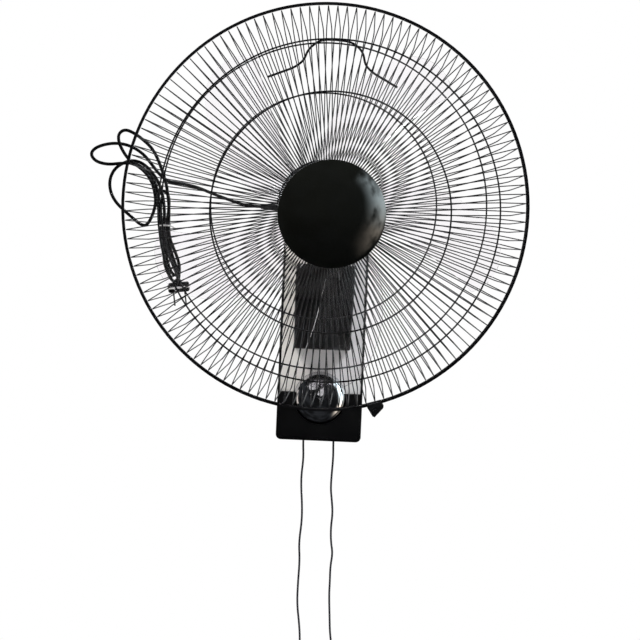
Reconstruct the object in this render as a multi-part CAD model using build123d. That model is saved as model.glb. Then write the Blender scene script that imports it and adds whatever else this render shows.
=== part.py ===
from build123d import *
import os
from math import acos, asin, atan2, copysign, cos, degrees, dist, pi, radians, sin, sqrt, tan

os.makedirs("parts", exist_ok=True)

# A 16 inch wall fan. A base box on the wall carries an arm, the arm carries a neck that tilts, the neck
# carries a head that swings, and the head carries the motor, the blades and a wire guard.
# Millimetres. +X is to the right of a viewer who faces the wall, +Y goes into the wall, +Z is up.
# The origin is the middle of the wall screw pattern, on the wall.

# ---- clearances
GAP = 0.3  # between curved faces of different pieces
RUN = 0.05  # radial clearance of a shaft in its bush
SLIDE = 0.4  # between flat pieces that slide past each other

# ---- wall plate and base box
WALL_SCREW_X, WALL_SCREW_Z, WALL_SCREW_R = 60.0, 196.0, 2.75
BASE_W, BASE_H, BASE_D, BASE_WALL = 105.0, 265.0, 60.0, 2.5
BASE_CORNER, BASE_EDGE_R = 6.5, 1.2
PLATE_H, PLATE_T = 236.0, 3.0
PLATE_CLEAR = 4.0  # from the steel plate's long edges to the walls of the box
PLATE_W = BASE_W - 2 * (BASE_WALL + PLATE_CLEAR)
RIM_W, RIM_DEEP = 2.5, 3.0
BASE_FACE_Y = -(BASE_D - RIM_DEEP)  # front wall of the box, behind the rim
INNER_FACE_Y = BASE_FACE_Y + BASE_WALL  # the same wall seen from inside the box
FASCIA_T = 2.2
FASCIA_Y = BASE_FACE_Y - FASCIA_T
COVER_TOP_Z = -73.0  # where the silver fascia ends and the black lower cover begins
COVER_T = 5.0
DOME_R, DOME_Z, DOME_H, DOME_STEP_R, DOME_CROWN = 32.0, -79.5, 17.0, 19.0, 3.8
DOME_BULGE_R, DOME_BULGE_H = 27.0, 9.0  # a point of its curved side
BASE_SCREW_R, BASE_SCREW_L, BASE_SCREW_Z, SCREW_BOSS = 1.9, 22.0, 112.0, 2.6
BASE_SCREWS = [(0.0, BASE_SCREW_Z), (0.0, -BASE_SCREW_Z)]
VENTS, VENT_Z, VENT_STEP, VENT_W = 6, -60.0, 8.0, 3.0
VENT_BACK_Y, VENT_FRONT_Y = -14.0, -44.0
TIP_PLAY = 0.3  # from a screw's tip to the wall

# ---- what the base box holds
PULL_X = (-18.6, 19.2)
PULL_Y = -30.0
EYELET_R, EYELET_LIP, EYELET_LIP_T = 3.6, 1.6, 1.5
SWITCH_W, SWITCH_T, SWITCH_LOW, SWITCH_TOP = 26.0, 17.0, -106.0, -80.0
SWITCH_TUBE_R, SWITCH_TUBE_L, SWITCH_HOLE_TOP = 4.5, 6.0, -94.5
SWITCH_ARM_W, SWITCH_ARM_TOP = 12.0, -92.0  # the lever's housing round the cord
CAPACITOR_W, CAPACITOR_T, CAPACITOR_Z, CAPACITOR_H = 48.0, 16.0, 98.0, 12.0
TERMINAL_W, TERMINAL_T, TERMINAL_Z, TERMINAL_H = 44.0, 12.0, -53.0, 18.0
TERMINALS, TERMINAL_STEP, TERMINAL_R, TERMINAL_DEEP = 4, 11.0, 2.2, 7.0

# ---- arm
ARM_W, ARM_TOP_Z, ARM_BOTTOM_Z, ARM_WALL = 69.0, 82.0, -19.5, 2.5
ARM_NOSE_Y, ARM_NOSE_LOW_Z = -168.0, 40.0
ARM_KNEE_Y = -82.0  # where its underside turns up
ARM_BEND_R, ARM_EDGE_R = 9.0, 3.0
ARM_PORT = ARM_WALL + 1.0  # from the arm's outside in to the opening in the box behind it
TILT_Y, TILT_Z = -147.0, 71.5
KNUCKLE_W, KNUCKLE_R, KNUCKLE_NECK_R = 30.0, 17.0, 12.0
SLOT_PLAY, SLOT_LOW, SLOT_BACK = 2.2, 7.5, 9.0  # the arm's notch round the knuckle
CHEEK_T, CHEEK_R = 4.0, 7.6
CHEEK_IN = KNUCKLE_W / 2 + SLIDE
CHEEK_OUT = CHEEK_IN + CHEEK_T
CHEEK_FOOT_Y = -60.0
BRACKET_W, BRACKET_LOW, BRACKET_TOP = 68.0, -12.0, 74.0
BRACKET_BOLT_R, BRACKET_BOLT_X, BRACKET_BOLT_Z = 3.0, 27.0, (-4.0, 64.0)
BRACKET_BOLTS = [(x, z) for x in (-BRACKET_BOLT_X, BRACKET_BOLT_X) for z in BRACKET_BOLT_Z]
HEX_FLATS, HEX_HEAD = 10.0, 4.0
TILT_BOLT_R, TILT_BOLT_TIP = 3.0, 7.5
BOLT_WASHER_R, BOLT_WASHER_T = 6.5, 1.0
NUT_T = 6.0

# ---- pose of the head in the stored model
TILT_DOWN = 6.8  # degrees below level
PAN_RIGHT = 3.6  # degrees to the right of straight ahead

# ---- neck and swing
HEAD_UP = 82.1  # from the tilt axis up to the motor axis
RIM_AHEAD = 124.0  # from the swing axis forward to the middle of the guard's rim
MOTOR_OFFSET = 9.8  # the motor axis lies this far to the left of the swing axis
POST_R, POST_FOOT = 5.0, 2.5  # the foot is the metal left over the tilt bolt
POST_LOW = TILT_BOLT_R + POST_FOOT
POST_TOP_HEAD = -28.5  # top of the post in the head's frame
POST_TOP = POST_TOP_HEAD + HEAD_UP
GROOVE_DOWN, GROOVE_W, GROOVE_DEEP = 3.5, 4.0, 1.2
SET_SCREW_R = 1.5
FLANGE_R, FLANGE_T = 15.0, 5.0
FLANGE_UP = 21.1  # top of the neck's flange over the tilt axis
FLANGE_LOW = FLANGE_UP - FLANGE_T
WASHER_T = 1.5
SADDLE_R, SADDLE_TOP_R, SADDLE_SHOULDER = 10.0, 14.0, -36.0
SADDLE_LOW = FLANGE_UP + WASHER_T - HEAD_UP  # in the head's frame
SADDLE_WEB, SADDLE_WEB_T = 24.0, 4.0
SHELF_TOP, SHELF_T, SHELF_R, SHELF_LEFT, SHELF_RIGHT = -27.0, 2.4, 17.0, 12.0, 16.0
LEVER, LEVER_HALF, CRANK_THROW, LINK_LENGTH = 20.0, 5.0, 13.0, 34.0
LINK_W, LINK_T, LINK_PIN_R, LINK_COLLAR = 8.0, 2.0, 2.0, 1.2
LINK_LOW = FLANGE_UP + 2.1  # underside of the link over the tilt axis
PIN_PLAY = 0.1  # above and below the link, on its pin
CRANK_X, CRANK_Y = MOTOR_OFFSET - LEVER, RIM_AHEAD + LINK_LENGTH
CRANK_T, CRANK_SHAFT_R, CRANK_EDGE, CRANK_SHAFT_IN = 4.0, 3.0, 3.5, 9.0
CRANK_PIN_LOW = LINK_LOW + LINK_T - HEAD_UP + 0.5
CRANK_PIN_L = 5.2
CRANK_TOP = CRANK_PIN_LOW + CRANK_PIN_L + CRANK_T

# ---- motor, in the head's own frame: Y runs back along the motor axis from the middle of the rim
MOTOR_R, MOTOR_WALL = 47.0, 2.5
MOTOR_FRONT, MOTOR_JOINT, MOTOR_BACK = 60.0, 108.0, 184.0
FACE_R = 36.0  # the boss of the front frame that shows through the front cover
FRAME_R, FRAME_T = 44.2, 4.0
FRONT_FRAME_Y = 66.0
FRAME_SPLIT, FRAME_SPLIT_GAP = 90.0, 2.0  # where the two frames' skirts meet over the stator
STATOR_R, STATOR_BORE, STATOR_FRONT, STATOR_BACK = 41.0, 23.5, 78.0, 104.0
SLOTS, SLOT_R, SLOT_AT, SLOT_MOUTH = 16, 2.8, 33.5, 3.0
SKIRT_IN = STATOR_R + GAP
REAR_FRAME_FRONT = STATOR_BACK + 9.0
REAR_FRAME_BACK = REAR_FRAME_FRONT + FRAME_T
WINDING_IN, WINDING_OUT, WINDING_PLAY = 27.0, 38.0, 0.5
AIR_GAP = 0.5
BUSH_R, BUSH_L = 8.0, 8.0
NECK_R, NECK_FRONT = 19.0, 44.0  # the front frame's threaded neck, which the rear guard slips over
SWING_MOTOR_R, SWING_MOTOR_H = 18.0, 16.0
SHAFT_R, SHAFT_NOSE, SHAFT_TAIL = 4.0, -62.0, 122.0
SHAFT_END_PLAY, FRAME_CAP_T = 0.5, 2.0
COVER_SCREW_R, COVER_SCREW_X, SCREW_HEAD_R, SCREW_HEAD_T = 1.6, 19.5, 2.9, 2.0
COVER_SCREWS = [(-COVER_SCREW_X, 0.0), (COVER_SCREW_X, 0.0)]
END_VENT_R, END_VENT_STEP, END_VENT_W = 15.5, 4.6, 2.4
SIDE_VENTS, SIDE_VENT_W, SIDE_VENT_FROM, SIDE_VENT_TO = 24, 2.6, 128.0, 164.0

# ---- guard
WIRES = 135
WIRE_R, RING_R, HOOP_R = 0.6, 0.9, 1.0
RIM_OUT, RIM_WALL, RIM_WIDE, RIM_LIP = 224.7, 0.8, 8.0, 2.4
RING_A, RING_B = 128.0, 183.0
WIRE_IN = 44.0
FRONT_PLATE_Y, FRONT_A_Y, FRONT_SHOULDER = -85.0, -78.0, (193.0, -61.0)
REAR_PLATE_Y, REAR_A_Y, REAR_SHOULDER = 58.0, 52.0, (198.0, 29.0)
BEND_R, SHOULDER_R = 80.0, 14.0
HOOP_MAJOR = RIM_OUT - RIM_WALL - GAP - HOOP_R
HOOP_Y = HOOP_R + 0.9
WIRE_END = HOOP_MAJOR - HOOP_R - WIRE_R - GAP - 0.2
RING_A_PLAY, RING_B_PLAY = 0.7, 0.05  # past the clearance; the wires bend most at ring A
GUARD_PLATE_R, GUARD_PLATE_T, PLATE_HOLE_R = 53.0, 1.5, 12.0
# the rear plate's back face lies against the wires at the plate's edge, where they stand furthest forward
REAR_SLOPE = (REAR_PLATE_Y - REAR_A_Y) / (RING_A - WIRE_IN)
REAR_PLATE_BACK = REAR_PLATE_Y - REAR_SLOPE * (GUARD_PLATE_R - WIRE_IN) - (WIRE_R + GAP)
CAP_R, CAP_H, CAP_SKIRT, CAP_WALL = 57.0, 24.0, 3.5, 2.0
CAP_LEGS, CAP_LEG_R, CAP_LEG_AT, CAP_LEG_TURN, CAP_LEG_PAST = 3, 3.0, 30.0, 30.0, 1.5
NUT_R, NUT_L, NUT_GRIPS, NUT_GRIP_R, NUT_RIM = 31.0, 9.0, 16, 2.4, 2.5
CLIP_ANGLE = 286.3  # degrees round from +X, seen from the front with +Z at 90
BAND_SLIT = 4.0
CLIP_T, CLIP_FOOT, CLIP_SCREW_R, CLIP_SCREW_HEAD_R = 7.0, 2.6, 1.5, 2.8
CLIP_SCREW_OUT, CLIP_SCREW_Z = 6.0, -1.0  # from the rim, and along it
STEADY_R = 1.3
STEADY_WIRE = (  # angle anticlockwise from +X, distance out from ring B
    (116.0, -24.5),
    (104.5, -23.5),
    (100.5, -18.0),
    (98.3, -6.0),
    (94.0, 3.0),
    (88.5, 3.5),
    (83.0, 3.0),
    (78.6, -4.5),
    (76.4, -18.0),
    (72.6, -23.5),
    (61.0, -26.0),
)

# ---- blades
BLADES = 5
TIP_R, TIP_AT, HUB_R, HUB_BOSS_R = 193.0, 38.0, 42.0, 11.0
BLADE_MID, BLADE_T, BLADE_CENTRE = -30.0, 2.2, 22.0  # the centre is in degrees from the top
BLADE_CHORD, CHORD_GROWTH, BLADE_SAG = 64.0, 0.16, 0.07
HUB_FRONT, HUB_BACK, HUB_WALL, HUB_EDGE = -52.0, -12.0, 2.5, 3.0
LEADING_R, LEADING_AT = (38.0, 66.0, 108.0, 150.0, 182.0), (30.5, 33.5, 39.0, 44.0, 46.0)
TRAILING_R, TRAILING_AT = (38.0, 66.0, 94.0, 150.0, 182.0), (-13.5, -10.5, -2.5, 13.0, 23.0)
PITCH_R, PITCH_AT = (34.0, 66.0, 108.0, 150.0, 198.0), (44.0, 37.0, 29.0, 24.0, 20.0)
LEADING = list(zip(LEADING_R, LEADING_AT))  # radius, degrees clockwise from the top
TRAILING = list(zip(TRAILING_R, TRAILING_AT))
PITCH = list(zip(PITCH_R, PITCH_AT))
DRIVE_PIN_R, DRIVE_PIN_L, DRIVE_PIN_IN = 1.5, 17.0, 1.6
SPINNER_R, SPINNER_L, SPINNER_GRIPS, SPINNER_GRIP_R = 18.0, 16.0, 12, 1.6

# ---- cords
LEAD_R = 1.8
GLAND_R, GLAND_Y, GLAND_Z, GLAND_TIP = 5.0, 98.0, -4.8, -70.0
GLAND_FLANGE, GLAND_FLANGE_T, GLAND_LIP = 1.5, 2.2, 0.9
PLUG_W, PLUG_T, PLUG_H, PLUG_NECK, PLUG_EDGE_R = 24.0, 10.0, 11.0, 4.0, 2.4
PIN_PITCH, PIN_W, PIN_T, PIN_L = 12.7, 6.3, 1.5, 15.0
TIE_T, TIE_W, TIE_PLAY, TIE_TWIST = 0.7, 1.8, 0.35, 9.0
TIE_AT, STRAND_STEP = (-178.6, 43.35, -27.0), 4.8  # the hank's tie, and its strands' spacing
LAYER_STEP = 5.0  # from the hank's front layer of strands to the back one
PULL_R, PULL_PLAY = 1.25, 0.6
BELL_R, BELL_H, BELL_TOP_R, BELL_LIP = 7.0, 28.0, 2.9, 1.4


# ---------------------------------------------------------------- helpers
NECK = Pos(0, TILT_Y, TILT_Z) * Rot(TILT_DOWN, 0, 0)
HEAD = NECK * Rot(0, 0, PAN_RIGHT) * Pos(-MOTOR_OFFSET, -RIM_AHEAD, HEAD_UP)


def save(node, shapes, place=None):
    """Writes one node from its separate solids."""
    solids = [s for shape in shapes for s in shape.solids()]
    if place is not None:
        solids = [place * s for s in solids]
    export_step(Compound(solids), f"parts/{node}.step")


def rod_x(radius, x0, x1, y=0.0, z=0.0):
    return Pos((x0 + x1) / 2, y, z) * Rot(0, 90, 0) * Cylinder(radius, abs(x1 - x0))


def rod_y(radius, y0, y1, x=0.0, z=0.0):
    return Pos(x, (y0 + y1) / 2, z) * Rot(90, 0, 0) * Cylinder(radius, abs(y1 - y0))


def rod_z(radius, z0, z1, x=0.0, y=0.0):
    return Pos(x, y, (z0 + z1) / 2) * Cylinder(radius, abs(z1 - z0))


def block(x0, x1, y0, y1, z0, z1):
    return Pos((x0 + x1) / 2, (y0 + y1) / 2, (z0 + z1) / 2) * Box(abs(x1 - x0), abs(y1 - y0), abs(z1 - z0))


def hex_x(across, x0, x1, y, z):
    """A hexagon head along X, from its width across the flats."""
    end = Plane(origin=(min(x0, x1), y, z), z_dir=(1, 0, 0))
    return extrude(end * RegularPolygon(across / 2, 6, major_radius=False), abs(x1 - x0))


def turned(points):
    """A solid turned about the Y axis from a closed outline of (radius, y) points."""
    return revolve(make_face(Polyline(*points, close=True)), Axis.Y)


def crown(radius, edge, top):
    """Arc of a ball from (radius, edge) up to the axis at (0, top)."""
    rise = top - edge
    ball = (radius**2 + rise**2) / (2 * abs(rise))
    middle = top - copysign(ball, rise)
    half = asin(radius / ball) / 2
    between = (ball * sin(half), middle + copysign(ball * cos(half), rise))
    return ThreePointArc((radius, edge), between, (0, top))


def ring_y(major, minor, y):
    return Pos(0, y, 0) * Rot(90, 0, 0) * Torus(major, minor)


def around_y(shape, count, start=0.0):
    return [Rot(0, start + 360.0 * k / count, 0) * shape for k in range(count)]


def swept(path, radius):
    return sweep(Plane(origin=path @ 0, z_dir=path % 0) * Circle(radius), path=path)


def corner_radii(points):
    """The arc at each corner of a cord's route: 0.45 of its shorter run over the tangent of half the turn."""
    radii = []
    for a, b, c in zip(points, points[1:], points[2:]):
        before, after = Vector(b) - Vector(a), Vector(c) - Vector(b)
        half_turn = radians(before.get_angle(after)) / 2
        radii.append(0.45 * min(before.length, after.length) / tan(half_turn))
    return radii


def cord_tube(name, points, radius):
    radii = corner_radii(points)
    path = FilletPolyline(*points, radius=radii)
    tube = swept(path, radius)
    ideal = pi * radius**2 * path.length
    print(f"{name}: length {path.length:.0f}, radii {min(radii):.1f} to {max(radii):.1f}")
    print(f"{name}: volume/ideal {tube.volume / ideal:.4f}")
    return tube


# ---------------------------------------------------------------- wall plate and base box
def wall_plate():
    plate = extrude(Plane.XZ * RectangleRounded(PLATE_W, PLATE_H, BASE_CORNER), PLATE_T)
    for x in (-WALL_SCREW_X / 2, WALL_SCREW_X / 2):
        for z in (-WALL_SCREW_Z / 2, WALL_SCREW_Z / 2):
            plate -= rod_y(WALL_SCREW_R, 1, -PLATE_T - 1, x, z)
    for x, z in BRACKET_BOLTS:
        plate -= rod_y(BRACKET_BOLT_R + RUN, 1, -PLATE_T - 1, x, z)
    for x, z in BASE_SCREWS:
        plate -= rod_y(BASE_SCREW_R + RUN, 1, -PLATE_T - 1, x, z)
    return plate


def arm_port():
    """The way from the base box into the arm, through the box's front wall and the fascia."""
    half = ARM_W / 2 - ARM_PORT
    return block(-half, half, 0, -BASE_D, ARM_BOTTOM_Z + ARM_PORT, ARM_TOP_Z - ARM_PORT)


def front_panel(top, bottom, thick, y):
    """A plate inside the rim of the box, between two heights, with the rim's rounded corners."""
    whole = RectangleRounded(BASE_W - 2 * RIM_W - 2 * GAP, BASE_H - 2 * RIM_W - 2 * GAP, BASE_CORNER - RIM_W)
    band = Pos(0, (top + bottom) / 2) * Rectangle(BASE_W, top - bottom)
    return Pos(0, y, 0) * extrude(Plane.XZ * (whole & band), thick)


def base_housing():
    outer = extrude(Plane.XZ * RectangleRounded(BASE_W, BASE_H, BASE_CORNER), BASE_D)
    outer = fillet(outer.edges().filter_by(GeomType.LINE).group_by(Axis.Y)[0], BASE_EDGE_R)
    inner = RectangleRounded(BASE_W - 2 * BASE_WALL, BASE_H - 2 * BASE_WALL, BASE_CORNER - BASE_WALL)
    box = outer - extrude(Plane.XZ * inner, BASE_D - RIM_DEEP - BASE_WALL)
    recess = RectangleRounded(BASE_W - 2 * RIM_W, BASE_H - 2 * RIM_W, BASE_CORNER - RIM_W)
    box -= Pos(0, BASE_FACE_Y, 0) * extrude(Plane.XZ * recess, RIM_DEEP + 1)
    box -= arm_port()
    for x in PULL_X:
        box -= rod_z(EYELET_R, -BASE_H / 2 - 1, -BASE_H / 2 + BASE_WALL + 1, x, PULL_Y)
    for x, z in BASE_SCREWS:
        box += rod_y(BASE_SCREW_R + SCREW_BOSS, -PLATE_T, INNER_FACE_Y, x, z)
        box -= rod_y(BASE_SCREW_R + RUN, 1, -BASE_SCREW_L - 1, x, z)
    for side in (-1, 1):
        for k in range(VENTS):
            low = VENT_Z + k * VENT_STEP
            inside, outside = side * (BASE_W / 2 - BASE_WALL - 1), side * (BASE_W / 2 + 1)
            box -= block(inside, outside, VENT_BACK_Y, VENT_FRONT_Y, low, low + VENT_W)
    return box


def fascia():
    plate = front_panel(BASE_H, COVER_TOP_Z + GAP / 2, FASCIA_T, BASE_FACE_Y)
    return plate - arm_port() - rod_y(DOME_R + GAP, 0, -BASE_D - 5, 0, DOME_Z)


def lower_cover():
    plate = front_panel(COVER_TOP_Z - GAP / 2, -BASE_H, COVER_T, BASE_FACE_Y)
    return plate - rod_y(DOME_R + GAP, 0, -BASE_D - 10, 0, DOME_Z)


def dome():
    """A chromed dome with a raised round middle, seated on the front wall of the box."""
    seat = -BASE_FACE_Y
    top = seat + DOME_H
    step = DOME_STEP_R
    outline = Polyline((0, seat), (DOME_R, seat), (DOME_R, seat + FASCIA_T))
    bulge = (DOME_BULGE_R, seat + DOME_BULGE_H)
    outline += ThreePointArc((DOME_R, seat + FASCIA_T), bulge, (step, top - DOME_CROWN))
    outline += crown(step, top - DOME_CROWN, top)
    outline += Line((0, top), (0, seat))
    solid = revolve(make_face(outline), Axis.Y)
    return Pos(0, 0, DOME_Z) * Rot(180, 0, 0) * solid


def pull_switch(x):
    """A pull-cord switch: a square case on the front wall, with a guide tube for the cord."""
    front, half, arm = INNER_FACE_Y, SWITCH_W / 2, SWITCH_ARM_W / 2
    case = block(x - half, x + half, front, front + SWITCH_T, SWITCH_LOW, SWITCH_TOP)
    case += rod_z(SWITCH_TUBE_R, SWITCH_LOW - SWITCH_TUBE_L, SWITCH_LOW, x, PULL_Y)
    case += block(x - arm, x + arm, front + SWITCH_T, PULL_Y + SWITCH_TUBE_R, SWITCH_LOW, SWITCH_ARM_TOP)
    hole_low = SWITCH_LOW - SWITCH_TUBE_L - 1
    return case - rod_z(PULL_R + PULL_PLAY, hole_low, SWITCH_HOLE_TOP, x, PULL_Y)


def capacitor():
    half, rise = CAPACITOR_W / 2, CAPACITOR_H / 2
    low, high = CAPACITOR_Z - rise, CAPACITOR_Z + rise
    return block(-half, half, INNER_FACE_Y, INNER_FACE_Y + CAPACITOR_T, low, high)


def terminal_block():
    half, rise, face = TERMINAL_W / 2, TERMINAL_H / 2, INNER_FACE_Y + TERMINAL_T
    body = block(-half, half, INNER_FACE_Y, face, TERMINAL_Z - rise, TERMINAL_Z + rise)
    first = -TERMINAL_STEP * (TERMINALS - 1) / 2
    for k in range(TERMINALS):
        body -= rod_y(TERMINAL_R, face, face - TERMINAL_DEEP, first + TERMINAL_STEP * k, TERMINAL_Z)
    return body


def base_screws():
    screws = []
    for x, z in BASE_SCREWS:
        screws.append(rod_y(BASE_SCREW_R, -TIP_PLAY, -BASE_SCREW_L, x, z))
    return screws


def cord_eyelets():
    low = -BASE_H / 2
    lip = low - EYELET_LIP_T
    eyelets = []
    for x in PULL_X:
        eyelet = rod_z(EYELET_R - RUN, lip, low + BASE_WALL + EYELET_LIP_T, x, PULL_Y)
        eyelet += rod_z(EYELET_R + EYELET_LIP, lip, low, x, PULL_Y)
        eyelets.append(eyelet - rod_z(PULL_R + PULL_PLAY, lip - 1, low + 9, x, PULL_Y))
    return eyelets


# ---------------------------------------------------------------- arm
def arm_bracket():
    """A bent steel yoke: a flange on the wall plate, and two cheeks out to the tilt bolt."""
    half = BRACKET_W / 2
    yoke = block(-half, half, -PLATE_T, -PLATE_T - CHEEK_T, BRACKET_LOW, BRACKET_TOP)
    for side in (-1, 1):
        cheek = make_face(
            Plane.YZ
            * Polyline(
                (-PLATE_T, BRACKET_LOW),
                (-PLATE_T, BRACKET_TOP),
                (TILT_Y, TILT_Z + CHEEK_R),
                (TILT_Y - CHEEK_R, TILT_Z),
                (TILT_Y, TILT_Z - CHEEK_R),
                (CHEEK_FOOT_Y, BRACKET_LOW),
                close=True,
            )
        )
        cheek = Pos(side * CHEEK_IN, 0, 0) * extrude(cheek, CHEEK_T, dir=(side, 0, 0))
        yoke += cheek
        yoke += rod_x(CHEEK_R, side * CHEEK_IN, side * CHEEK_OUT, TILT_Y, TILT_Z)
    yoke -= rod_x(TILT_BOLT_R + RUN, -CHEEK_OUT - 1, CHEEK_OUT + 1, TILT_Y, TILT_Z)
    for x, z in BRACKET_BOLTS:
        yoke -= rod_y(BRACKET_BOLT_R + RUN, 0, -PLATE_T - CHEEK_T - 1, x, z)
    return yoke


def bracket_bolts():
    face = -PLATE_T - CHEEK_T
    bolts = []
    for x, z in BRACKET_BOLTS:
        head = extrude(Plane.XZ * RegularPolygon(HEX_FLATS / 2, 6, major_radius=False), HEX_HEAD)
        bolts.append(rod_y(BRACKET_BOLT_R, -TIP_PLAY, face, x, z) + Pos(x, face, z) * head)
    return bolts


def arm_profile(inset):
    """The arm's side outline in Y and Z, drawn in by a wall. It stays open towards the base."""
    back = FASCIA_Y if inset == 0 else 0
    face = make_face(
        Plane.YZ
        * Polyline(
            (back, ARM_BOTTOM_Z + inset),
            (ARM_KNEE_Y, ARM_BOTTOM_Z + inset),
            (ARM_NOSE_Y + inset, ARM_NOSE_LOW_Z + inset * 0.6),
            (ARM_NOSE_Y + inset, ARM_TOP_Z - inset),
            (back, ARM_TOP_Z - inset),
            close=True,
        )
    )
    return face


def arm_cover():
    half = ARM_W / 2
    outer = Pos(-half, 0, 0) * extrude(arm_profile(0), ARM_W, dir=(1, 0, 0))
    bends = outer.edges().filter_by(Axis.X).filter_by(lambda e: e.center().Y < FASCIA_Y - 5)
    outer = fillet(bends, ARM_BEND_R)
    sides = outer.edges().filter_by(lambda e: abs(abs(e.center().X) - half) < 0.1)
    outer = fillet(sides.filter_by(lambda e: e.center().Y < FASCIA_Y - 0.5), ARM_EDGE_R)
    inner = Pos(-half + ARM_WALL, 0, 0) * extrude(arm_profile(ARM_WALL), ARM_W - 2 * ARM_WALL, dir=(1, 0, 0))
    shell = outer - inner
    slot = KNUCKLE_W / 2 + SLOT_PLAY
    back = TILT_Y + KNUCKLE_R + SLOT_BACK
    return shell - block(-slot, slot, ARM_NOSE_Y - 1, back, TILT_Z - SLOT_LOW, ARM_TOP_Z + 1)


def tilt_bolt():
    """Bolt with its head washer; its nut is a piece of its own."""
    seat = -CHEEK_OUT - BOLT_WASHER_T
    head = hex_x(HEX_FLATS, seat - HEX_HEAD, seat, TILT_Y, TILT_Z)
    washer = rod_x(BOLT_WASHER_R, seat, -CHEEK_OUT, TILT_Y, TILT_Z)
    return head + washer + rod_x(TILT_BOLT_R, -CHEEK_OUT, CHEEK_OUT + TILT_BOLT_TIP, TILT_Y, TILT_Z)


def tilt_nut():
    nut = hex_x(HEX_FLATS, CHEEK_OUT, CHEEK_OUT + NUT_T, TILT_Y, TILT_Z)
    return nut - rod_x(TILT_BOLT_R + RUN, CHEEK_OUT - 1, CHEEK_OUT + NUT_T + 1, TILT_Y, TILT_Z)


# ---------------------------------------------------------------- neck, in the tilted frame
def knuckle():
    body = rod_x(KNUCKLE_R, -KNUCKLE_W / 2, KNUCKLE_W / 2)
    body += rod_z(KNUCKLE_NECK_R, 0, FLANGE_LOW + 1)
    body += rod_z(FLANGE_R, FLANGE_LOW, FLANGE_UP)
    body += block(-LEVER, 0, -LEVER_HALF, LEVER_HALF, FLANGE_LOW, FLANGE_UP)
    body += rod_z(LEVER_HALF, FLANGE_LOW, FLANGE_UP, -LEVER, 0)
    body -= rod_x(TILT_BOLT_R + RUN, -KNUCKLE_W, KNUCKLE_W)
    body -= rod_z(POST_R, POST_LOW, FLANGE_UP + 1)
    return body - rod_z(LINK_PIN_R, FLANGE_LOW + 1, FLANGE_UP + 1, -LEVER, 0)


def swing_post():
    post = rod_z(POST_R, POST_LOW, POST_TOP)
    low, high = POST_TOP - GROOVE_DOWN - GROOVE_W / 2, POST_TOP - GROOVE_DOWN + GROOVE_W / 2
    groove = rod_z(POST_R + 1, low, high) - rod_z(POST_R - GROOVE_DEEP, low, high)
    return post - groove


def thrust_washer():
    washer = rod_z(FLANGE_R - 1, FLANGE_UP, FLANGE_UP + WASHER_T)
    return washer - rod_z(POST_R + GAP, FLANGE_UP - 1, FLANGE_UP + WASHER_T + 1)


def link_pin():
    top = LINK_LOW + LINK_T
    cap = top + 2 * PIN_PLAY
    pin = rod_z(LINK_PIN_R, FLANGE_LOW + 1, cap, -LEVER, 0)
    pin += rod_z(LINK_PIN_R + LINK_COLLAR, FLANGE_UP, LINK_LOW - PIN_PLAY, -LEVER, 0)
    return pin + rod_z(LINK_PIN_R + LINK_COLLAR, cap, cap + 1, -LEVER, 0)


def rest_linkage():
    """The link's pivot, the crank's centre and the crank's pin in the tilted frame, at the stored pan."""
    c = Vector(-LEVER, LINK_LENGTH, 0).rotate(Axis.Z, PAN_RIGHT)
    pivot = Vector(-LEVER, 0, 0)
    to_pivot = pivot - c
    reach = to_pivot.length
    spread = acos((reach**2 + CRANK_THROW**2 - LINK_LENGTH**2) / (2 * reach * CRANK_THROW))
    pin = c + to_pivot.normalized().rotate(Axis.Z, -degrees(spread)) * CRANK_THROW
    return pivot, c, pin


def swing_link():
    pivot, centre, pin = rest_linkage()
    along = pin - pivot
    turn = degrees(atan2(along.Y, along.X))
    bar = rod_z(LINK_W / 2, 0, LINK_T) + block(0, LINK_LENGTH, -LINK_W / 2, LINK_W / 2, 0, LINK_T)
    bar += rod_z(LINK_W / 2, 0, LINK_T, LINK_LENGTH, 0)
    bar -= rod_z(LINK_PIN_R + RUN, -1, LINK_T + 1)
    bar -= rod_z(LINK_PIN_R + RUN, -1, LINK_T + 1, LINK_LENGTH, 0)
    return Pos(pivot.X, pivot.Y, LINK_LOW) * Rot(0, 0, turn) * bar


# ---------------------------------------------------------------- head: saddle, swing motor, crank
def saddle():
    """The cast carrier that turns on the post, with a shelf behind it for the swing motor."""
    x, y = MOTOR_OFFSET, RIM_AHEAD
    body = rod_z(SADDLE_R, SADDLE_LOW, SHELF_TOP, x, y)
    body += rod_z(SADDLE_TOP_R, SADDLE_SHOULDER, SHELF_TOP, x, y)
    low, web = SHELF_TOP - SHELF_T, REAR_FRAME_BACK
    body += rod_z(SHELF_R, low, SHELF_TOP, CRANK_X, CRANK_Y)
    body += block(CRANK_X - SHELF_LEFT, CRANK_X + SHELF_RIGHT, y, CRANK_Y, low, SHELF_TOP)
    body += block(x - SADDLE_WEB, x + SADDLE_TOP_R, web, web + SADDLE_WEB_T, SADDLE_SHOULDER, SHELF_TOP)
    body -= block(x - 2 * SADDLE_WEB, x + 2 * SADDLE_WEB, 0, web, -MOTOR_R, 0)
    body -= rod_z(POST_R + RUN, SADDLE_LOW - 1, POST_TOP_HEAD + SHAFT_END_PLAY, x, y)
    body -= rod_z(CRANK_SHAFT_R + 1, SADDLE_SHOULDER, SHELF_TOP + 1, CRANK_X, CRANK_Y)
    screw_end = x + SADDLE_TOP_R + 4
    return body - rod_x(SET_SCREW_R + RUN, x + 2, screw_end, y, POST_TOP_HEAD - GROOVE_DOWN)


def post_screw():
    """Set screw whose tip runs in the post's groove and keeps the head on it."""
    x = MOTOR_OFFSET
    tip = x + POST_R - GROOVE_DEEP + SLIDE
    return rod_x(SET_SCREW_R, tip, x + SADDLE_TOP_R + 1, RIM_AHEAD, POST_TOP_HEAD - GROOVE_DOWN)


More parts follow.
